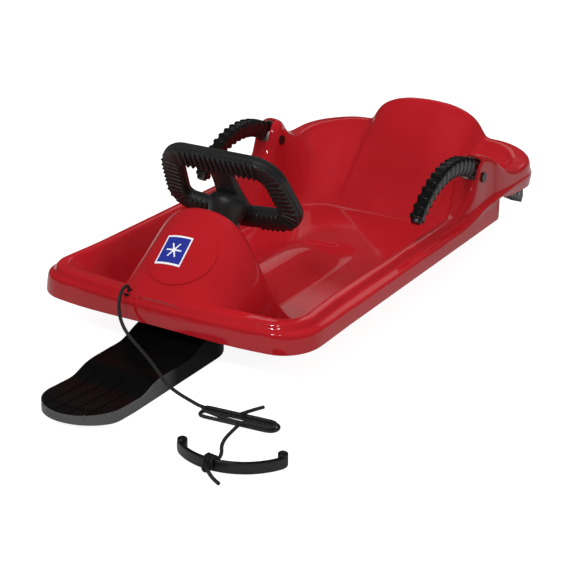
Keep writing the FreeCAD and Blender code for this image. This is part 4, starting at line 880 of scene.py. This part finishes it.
def grip_station(t):
    """Side place, outward direction and depth at a share of the grip's arc."""
    place, out = arc_station(GRIP_ARC, t)
    depth = GRIP_DEPTH[0] + (GRIP_DEPTH[1] - GRIP_DEPTH[0]) * t ** 2
    return place, out, depth


def grip_core(name, side):
    """The grip's core: a rounded section swept along the arc, closed at both ends."""
    build = bmesh.new()
    rows = []
    for k in range(GRIP_STEPS + 1):
        t = k / GRIP_STEPS
        (run, z), out, depth = grip_station(t)
        close = 1.0 - GRIP_TIP_LOSS * max(0, t - GRIP_TIP_START) / (1 - GRIP_TIP_START)
        row = []
        for c, s in squared_ring(GRIP_SIDES, GRIP_SQUARE):
            x = side * (GRIP_X + GRIP_WIDTH / 2 * c * close)
            reach = depth / 2 * s * close
            row.append(at(x, run + out[0] * reach, z + out[1] * reach))
        rows.append(row)
    add_skin(build, rows)
    return finish_mesh(build, name, BLACK, SOFT_CREASE)


def grip_ribs(side):
    """Rib plates along the grip."""
    ribs = []
    for k in range(GRIP_RIBS):
        (run, z), out, depth = grip_station((k + GRIP_RIB_SHIFT[0]) / (GRIP_RIBS + GRIP_RIB_SHIFT[1]))
        width, height = GRIP_WIDTH + GRIP_RIB_STAND, depth + 2 * GRIP_RIB_STAND
        size = Vector((width, GRIP_RIB_LENGTH, height)) / 1000
        up = Vector((0, out[0], out[1]))
        along = Vector((0, out[1], -out[0]))
        ribs.append((at(side * GRIP_X, run, z), size, (Vector((1, 0, 0)), along, up)))
    return ribs


grips = {}
for side_name, side in (("left", 1), ("right", -1)):
    core = grip_core("grip_core_" + side_name, side)
    ribs = rib_row("grip_ribs_" + side_name, grip_ribs(side), BLACK, GRIP_RIB_ROUNDNESS)
    grips[side_name] = (core, ribs)
print("grips:", sorted(grips))

# %% [markdown]
# The tow bar is what the hand pulls on: a flat bar bent into a bow, with a small barrel moulded on
# each end so that a glove doesn't slip off. A rounded section swept along one arc makes the bow, a
# boolean drills the cord's hole, and two turned posts are the barrels.

# %% Tow bar
BAR_ARC = ((181.5, -213.0), (247.5, -233.0), (330.5, -173.0))
BAR_THICK = 6.0
BAR_HEIGHT = 18.0
BAR_HOLE = 7.0
BAR_STEPS = 60
BAR_END_SHARE = 0.06
BAR_END_SIZE = 0.72
BAR_SIDES = 28
BAR_SQUARE = 0.45
BAR_ROUND_SIDES = 32
BARREL_SHARES = (0.02, 0.98)
BARREL_BACK = 5.0
BARREL_RINGS = [
    (4.6, 5.4), (5.6, 6.8), (7.0, 7.2), (19.4, 7.2), (21.0, 6.6), (21.8, 5.4), (22.0, 3.0),
]


def bow_size(t):
    """Share of the full section at a share of the arc: less at both rounded ends."""
    edge = min(t, 1 - t) / BAR_END_SHARE
    if edge >= 1:
        return 1.0
    return BAR_END_SIZE + (1 - BAR_END_SIZE) * math.sqrt(edge * (2 - edge))


def bow_piece(name):
    """The bow: a rounded section swept along the bar's arc."""
    rows = []
    for k in range(BAR_STEPS + 1):
        t = k / BAR_STEPS
        (x, run), out = arc_station(BAR_ARC, t)
        row = []
        for c, s in squared_ring(BAR_SIDES, BAR_SQUARE):
            reach = BAR_THICK / 2 * c * bow_size(t)
            z = BAR_HEIGHT / 2 * (1 + s * bow_size(t))
            row.append(at(x + out[0] * reach, run + out[1] * reach, z))
        rows.append(row)
    build = bmesh.new()
    add_skin(build, rows)
    return finish_mesh(build, name, BLACK, SOFT_CREASE)


def drill(piece, start, end, diameter):
    """A round hole through a piece from one place to another."""
    axis = end - start
    rings = [(0, diameter / 2), (axis.length * 1000, diameter / 2)]
    build = bmesh.new()
    add_post(build, start, axis.normalized(), rings, BAR_ROUND_SIDES)
    bit = finish_mesh(build, piece.name + "_drill", BLACK)
    modifier = piece.modifiers.new("hole", "BOOLEAN")
    modifier.operation = "DIFFERENCE"
    modifier.object = bit
    shape = piece.evaluated_get(bpy.context.evaluated_depsgraph_get())
    mesh = bpy.data.meshes.new_from_object(shape)
    piece.modifiers.clear()
    piece.data = mesh
    bpy.data.objects.remove(bit)


def barrel_piece(name):
    """A barrel behind each end of the bow."""
    build = bmesh.new()
    for t in BARREL_SHARES:
        (x, run), out = arc_station(BAR_ARC, t)
        base = at(x - out[0] * BARREL_BACK, run - out[1] * BARREL_BACK, 0)
        add_post(build, base, Vector((0, 0, 1)), BARREL_RINGS, BAR_ROUND_SIDES)
    return finish_mesh(build, name, BLACK, SOFT_CREASE)


bow = bow_piece("bar_bow")
drill(bow, at(*BAR_HOLE_IN), at(*BAR_HOLE_OUT), BAR_HOLE)
barrels = barrel_piece("bar_barrels")
print("bow faces:", len(bow.data.polygons))

# %% [markdown]
# Before it ends in its knot the cord is laid over the bar's top edge a few times, which keeps the bar
# from sliding along it. Each turn goes up the back, over the edge and down the front, side by side.

# %% Cord over the bar
WRAP_TURNS = ((-5.4, 5.0), (0.0, 14.6), (5.4, 5.0))
WRAP_LOW = 5.0
WRAP_STEP = 15
WRAP_SIDES = 14
BAR_EDGE = 1.6


def wrap_piece(name):
    """Turns of cord over the bar's top edge, as tubes with closed ends."""
    half = BAR_THICK / 2 + CORD_RADIUS
    bend = BAR_EDGE + CORD_RADIUS
    top = BAR_HEIGHT + CORD_RADIUS - bend
    out = (at(*BAR_HOLE_OUT) - at(*BAR_HOLE_IN)).normalized()
    up = Vector((0, 0, 1))
    along = up.cross(out)
    foot = at(*BAR_ARC[1], 0)
    build = bmesh.new()
    for offset, start in WRAP_TURNS:
        stations = [(-half, start, 180)]
        corners = (
            (bend - half, range(180, 89, -WRAP_STEP)),
            (half - bend, range(90, -1, -WRAP_STEP)),
        )
        for centre, angles in corners:
            for angle in angles:
                turn = math.radians(angle)
                reach, z = centre + bend * math.cos(turn), top + bend * math.sin(turn)
                stations.append((reach, z, angle))
        stations.append((half, WRAP_LOW, 0))
        rows = []
        for reach, z, angle in stations:
            turn = math.radians(angle)
            away = out * math.cos(turn) + up * math.sin(turn)
            middle = along * offset + out * reach + up * z
            row = []
            for c, s in squared_ring(WRAP_SIDES, 1.0):
                place = middle + (along * s + away * c) * CORD_RADIUS
                row.append(foot + place / 1000)
            rows.append(row)
        add_skin(build, rows)
    return finish_mesh(build, name, KNOT_CORD, SOFT_CREASE)


bar_wraps = wrap_piece("bar_wraps")
print("cord turns over the bar:", len(WRAP_TURNS))

# %% [markdown]
# The sticker on the nose is plain: a blue field inside a white border, with a six-armed snow star in
# the middle. It is printed on the film, so the material draws it from the sticker's own place.

# %% Sticker finish
LABEL_MIDDLE = at(-13, 62, 160)
LABEL_HALF_ACROSS = 0.023
LABEL_HALF_RUN = 0.0198
LABEL_BORDER = 0.0022
LABEL_BLUE = (0.018, 0.030, 0.27)
LABEL_WHITE = (0.82, 0.83, 0.85)
STAR_STRETCH = 1.31
STAR_ARM = 0.0035
STAR_REACH = 0.0135
FILM_SCALE = 200.0
FILM_GLOSS = (0.16, 0.32)


def sticker_finish():
    """Blue printed film with a white border and a plain snow star."""
    material, tree, shader = new_finish("printed_sticker", LABEL_BLUE, 0.22)
    place = tree.nodes.new("ShaderNodeTexCoord").outputs["Object"]
    mapping = tree.nodes.new("ShaderNodeMapping")
    mapping.inputs["Location"].default_value = -LABEL_MIDDLE
    tree.links.new(place, mapping.inputs["Vector"])
    split = tree.nodes.new("ShaderNodeSeparateXYZ")
    tree.links.new(mapping.outputs["Vector"], split.inputs["Vector"])
    math_node = partial(add_math, tree)
    across, along = split.outputs["X"], split.outputs["Y"]
    field_x, field_y = LABEL_HALF_ACROSS - LABEL_BORDER, LABEL_HALF_RUN - LABEL_BORDER
    edge_x = math_node("GREATER_THAN", math_node("ABSOLUTE", across), field_x)
    edge_y = math_node("GREATER_THAN", math_node("ABSOLUTE", along), field_y)
    border = math_node("MAXIMUM", edge_x, edge_y)
    upwards = math_node("MULTIPLY", along, STAR_STRETCH)
    angle = math_node("ARCTAN2", upwards, across)
    arm = math_node("ABSOLUTE", math_node("SINE", math_node("MULTIPLY", angle, 3)))
    squares = math_node("ADD", math_node("POWER", across, 2), math_node("POWER", upwards, 2))
    reach = math_node("SQRT", squares)
    thin = math_node("LESS_THAN", math_node("MULTIPLY", arm, reach), STAR_ARM)
    star = math_node("MULTIPLY", thin, math_node("LESS_THAN", reach, STAR_REACH))
    white = math_node("MAXIMUM", border, star)
    tree.links.new(add_mix(tree, white, LABEL_BLUE, LABEL_WHITE), shader.inputs["Base Color"])
    gloss = add_range(tree, add_noise(tree, place, FILM_SCALE), *WEAR_SPREAD, *FILM_GLOSS)
    tree.links.new(gloss, shader.inputs["Roughness"])
    return material


STICKER = sticker_finish()
print("sticker finish:", STICKER.name)

# %% [markdown]
# The remaining pieces keep the shapes of the frame: the tub, the ski, the brake arms and claws, and
# all the fasteners. Each takes its finish here, piece by piece.

# %% Finishes of the frame's own pieces
KEPT_FINISHES = {
    RED: ["tub"],
    BLACK: ["brake_claw_left", "brake_claw_right", "brake_pin_left", "brake_pin_right"],
    SKI_BLACK: ["ski"],
    STEEL: [
        "wheel_bolt", "wheel_nut", "ski_bolt", "ski_nut", "steering_shaft", "thrust_washer",
        "brake_arm_left", "brake_arm_right", "claw_rivets_left", "claw_rivets_right",
        "brake_spring_left", "brake_spring_right",
    ],
    NYLON: ["upper_bush", "lower_bush", "brake_spacer_left", "brake_spacer_right"],
    STICKER: ["front_label"],
}
for material, names in KEPT_FINISHES.items():
    for name in names:
        nodes[name].data.materials.clear()
        nodes[name].data.materials.append(material)
print("finished nodes:", sum(len(names) for names in KEPT_FINISHES.values()))

# %% [markdown]
# Every new piece now rides on the body it belongs to, and the frame's nodes that the new pieces
# replace are hidden.

# %% Riding and hiding
for piece in (tow_cord, loose_cord, rim_knot, bar_knot, bar_wraps):
    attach(piece, "sled")
for piece in (bow, barrels):
    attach(piece, "sled")
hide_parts("tow_rope", "rope_hank", "rope_lead", "rope_tail")
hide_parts("rope_loose_end")
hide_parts("rope_knot")
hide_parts("bar_knot")
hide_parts("tow_bar")
for piece in (wheel, wheel_rib_piece):
    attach(piece, "steering")
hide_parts("steering_wheel")
for side_name, (core, ribs) in grips.items():
    for piece in (core, ribs):
        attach(piece, "brake_" + side_name)
    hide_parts("brake_grip_" + side_name)
print("pieces ride")

# %% [markdown]
# The floor is a plain pale sheet that keeps the sled's shadow. It glows for the camera, so that the
# background is white although no more light falls on the sled. Mirrored rays see only a small share
# of that glow, because the gloss on the real sled mirrors a dark studio.

# %% Floor
FLOOR_LEVEL = -0.0005
FLOOR_HALF = 6
FLOOR_GREY = 0.38
FLOOR_ROUGHNESS = 0.9
FLOOR_SEEN = {"Is Camera Ray": 0.90, "Is Glossy Ray": 0.15, "Is Transmission Ray": 0.90}


def ray_share(tree, kind, share, base):
    """A value that is base, plus a share on one kind of ray."""
    path = tree.nodes.new("ShaderNodeLightPath")
    return add_math(tree, "MULTIPLY_ADD", path.outputs[kind], share, base)


def pale_floor():
    """A large pale sheet under the sled that keeps its shadow."""
    mesh = bpy.data.meshes.new("floor")
    ways = ((-1, -1), (1, -1), (1, 1), (-1, 1))
    corners = [(x * FLOOR_HALF, y * FLOOR_HALF, FLOOR_LEVEL) for x, y in ways]
    mesh.from_pydata(corners, [], [(0, 1, 2, 3)])
    material, tree, shader = new_finish("pale_floor", grey(FLOOR_GREY), FLOOR_ROUGHNESS)
    shader.inputs["Emission Color"].default_value = (1, 1, 1, 1)
    glow = 0.0
    for kind, share in FLOOR_SEEN.items():
        glow = ray_share(tree, kind, share, glow)
    tree.links.new(glow, shader.inputs["Emission Strength"])
    mesh.materials.append(material)
    floor = bpy.data.objects.new("floor", mesh)
    bpy.context.scene.collection.objects.link(floor)


pale_floor()
print("floor half width:", FLOOR_HALF)

# %% [markdown]
# The light is a soft studio. A large box overhead and three weak ones round the sled only give light:
# gloss plastic would mirror them as big pale patches, so they are hidden from mirrored rays. What the
# plastic does mirror is a dim surround, one weak pale screen behind the sled that draws its edges, and
# two small flashes that leave crisp highlights.

# %% Light
SURROUND_SOFT = 0.42
SURROUND_MIRRORED = 0.06
SURROUND_SEEN = 1.0
LIGHT_LAMPS = [
    ("overhead", (0.1, 0.1, 2.2), (0, 0.1, 0), (1.4, 1.4), 25),
    ("front_left", (-1.4, -2.0, 1.9), (0, 0, 0.1), (1.0, 1.0), 6),
    ("front_right", (2.1, -1.3, 0.9), (0, 0, 0.1), (1.0, 1.0), 14),
    ("rear_fill", (0.9, 2.4, 1.8), (0, 0, 0.1), (1.0, 1.0), 9),
]
MIRRORED_LAMPS = [
    ("backdrop", (-0.825, 2.4, 1.58), (-0.825, 0, 0.7), (1.85, 0.75), 2.1),
    ("flash_left", (-0.2, -2.3, 2.0), (0, 0, 0.1), (0.26, 0.26), 14),
    ("flash_right", (0.6, -2.4, 2.0), (0, 0, 0.1), (0.18, 0.18), 7),
]


def soft_box(name, place, target, size, power, mirrored):
    """An area lamp turned to a target, mirrored in gloss or known only by its light."""
    data = bpy.data.lights.new(name, "AREA")
    data.shape = "RECTANGLE"
    data.size, data.size_y = size
    data.energy = power
    lamp = bpy.data.objects.new(name, data)
    lamp.location = place
    lamp.rotation_euler = (Vector(target) - Vector(place)).to_track_quat("-Z", "Y").to_euler()
    lamp.visible_camera = False
    lamp.visible_glossy = mirrored
    bpy.context.scene.collection.objects.link(lamp)


def pale_world():
    """A surround that is white to the camera, pale to soft light and dim in mirrored rays."""
    world = bpy.data.worlds.new("surround")
    world.use_nodes = True
    tree = world.node_tree
    background = tree.nodes["Background"]
    background.inputs["Color"].default_value = (1, 1, 1, 1)
    soft = ray_share(tree, "Is Glossy Ray", SURROUND_MIRRORED - SURROUND_SOFT, SURROUND_SOFT)
    seen = ray_share(tree, "Is Camera Ray", SURROUND_SEEN - SURROUND_SOFT, soft)
    tree.links.new(seen, background.inputs["Strength"])
    bpy.context.scene.world = world


pale_world()
for lamp in LIGHT_LAMPS:
    soft_box(*lamp, mirrored=False)
for lamp in MIRRORED_LAMPS:
    soft_box(*lamp, mirrored=True)
bpy.context.scene.view_settings.view_transform = "Standard"
print("lamps:", len(LIGHT_LAMPS) + len(MIRRORED_LAMPS))
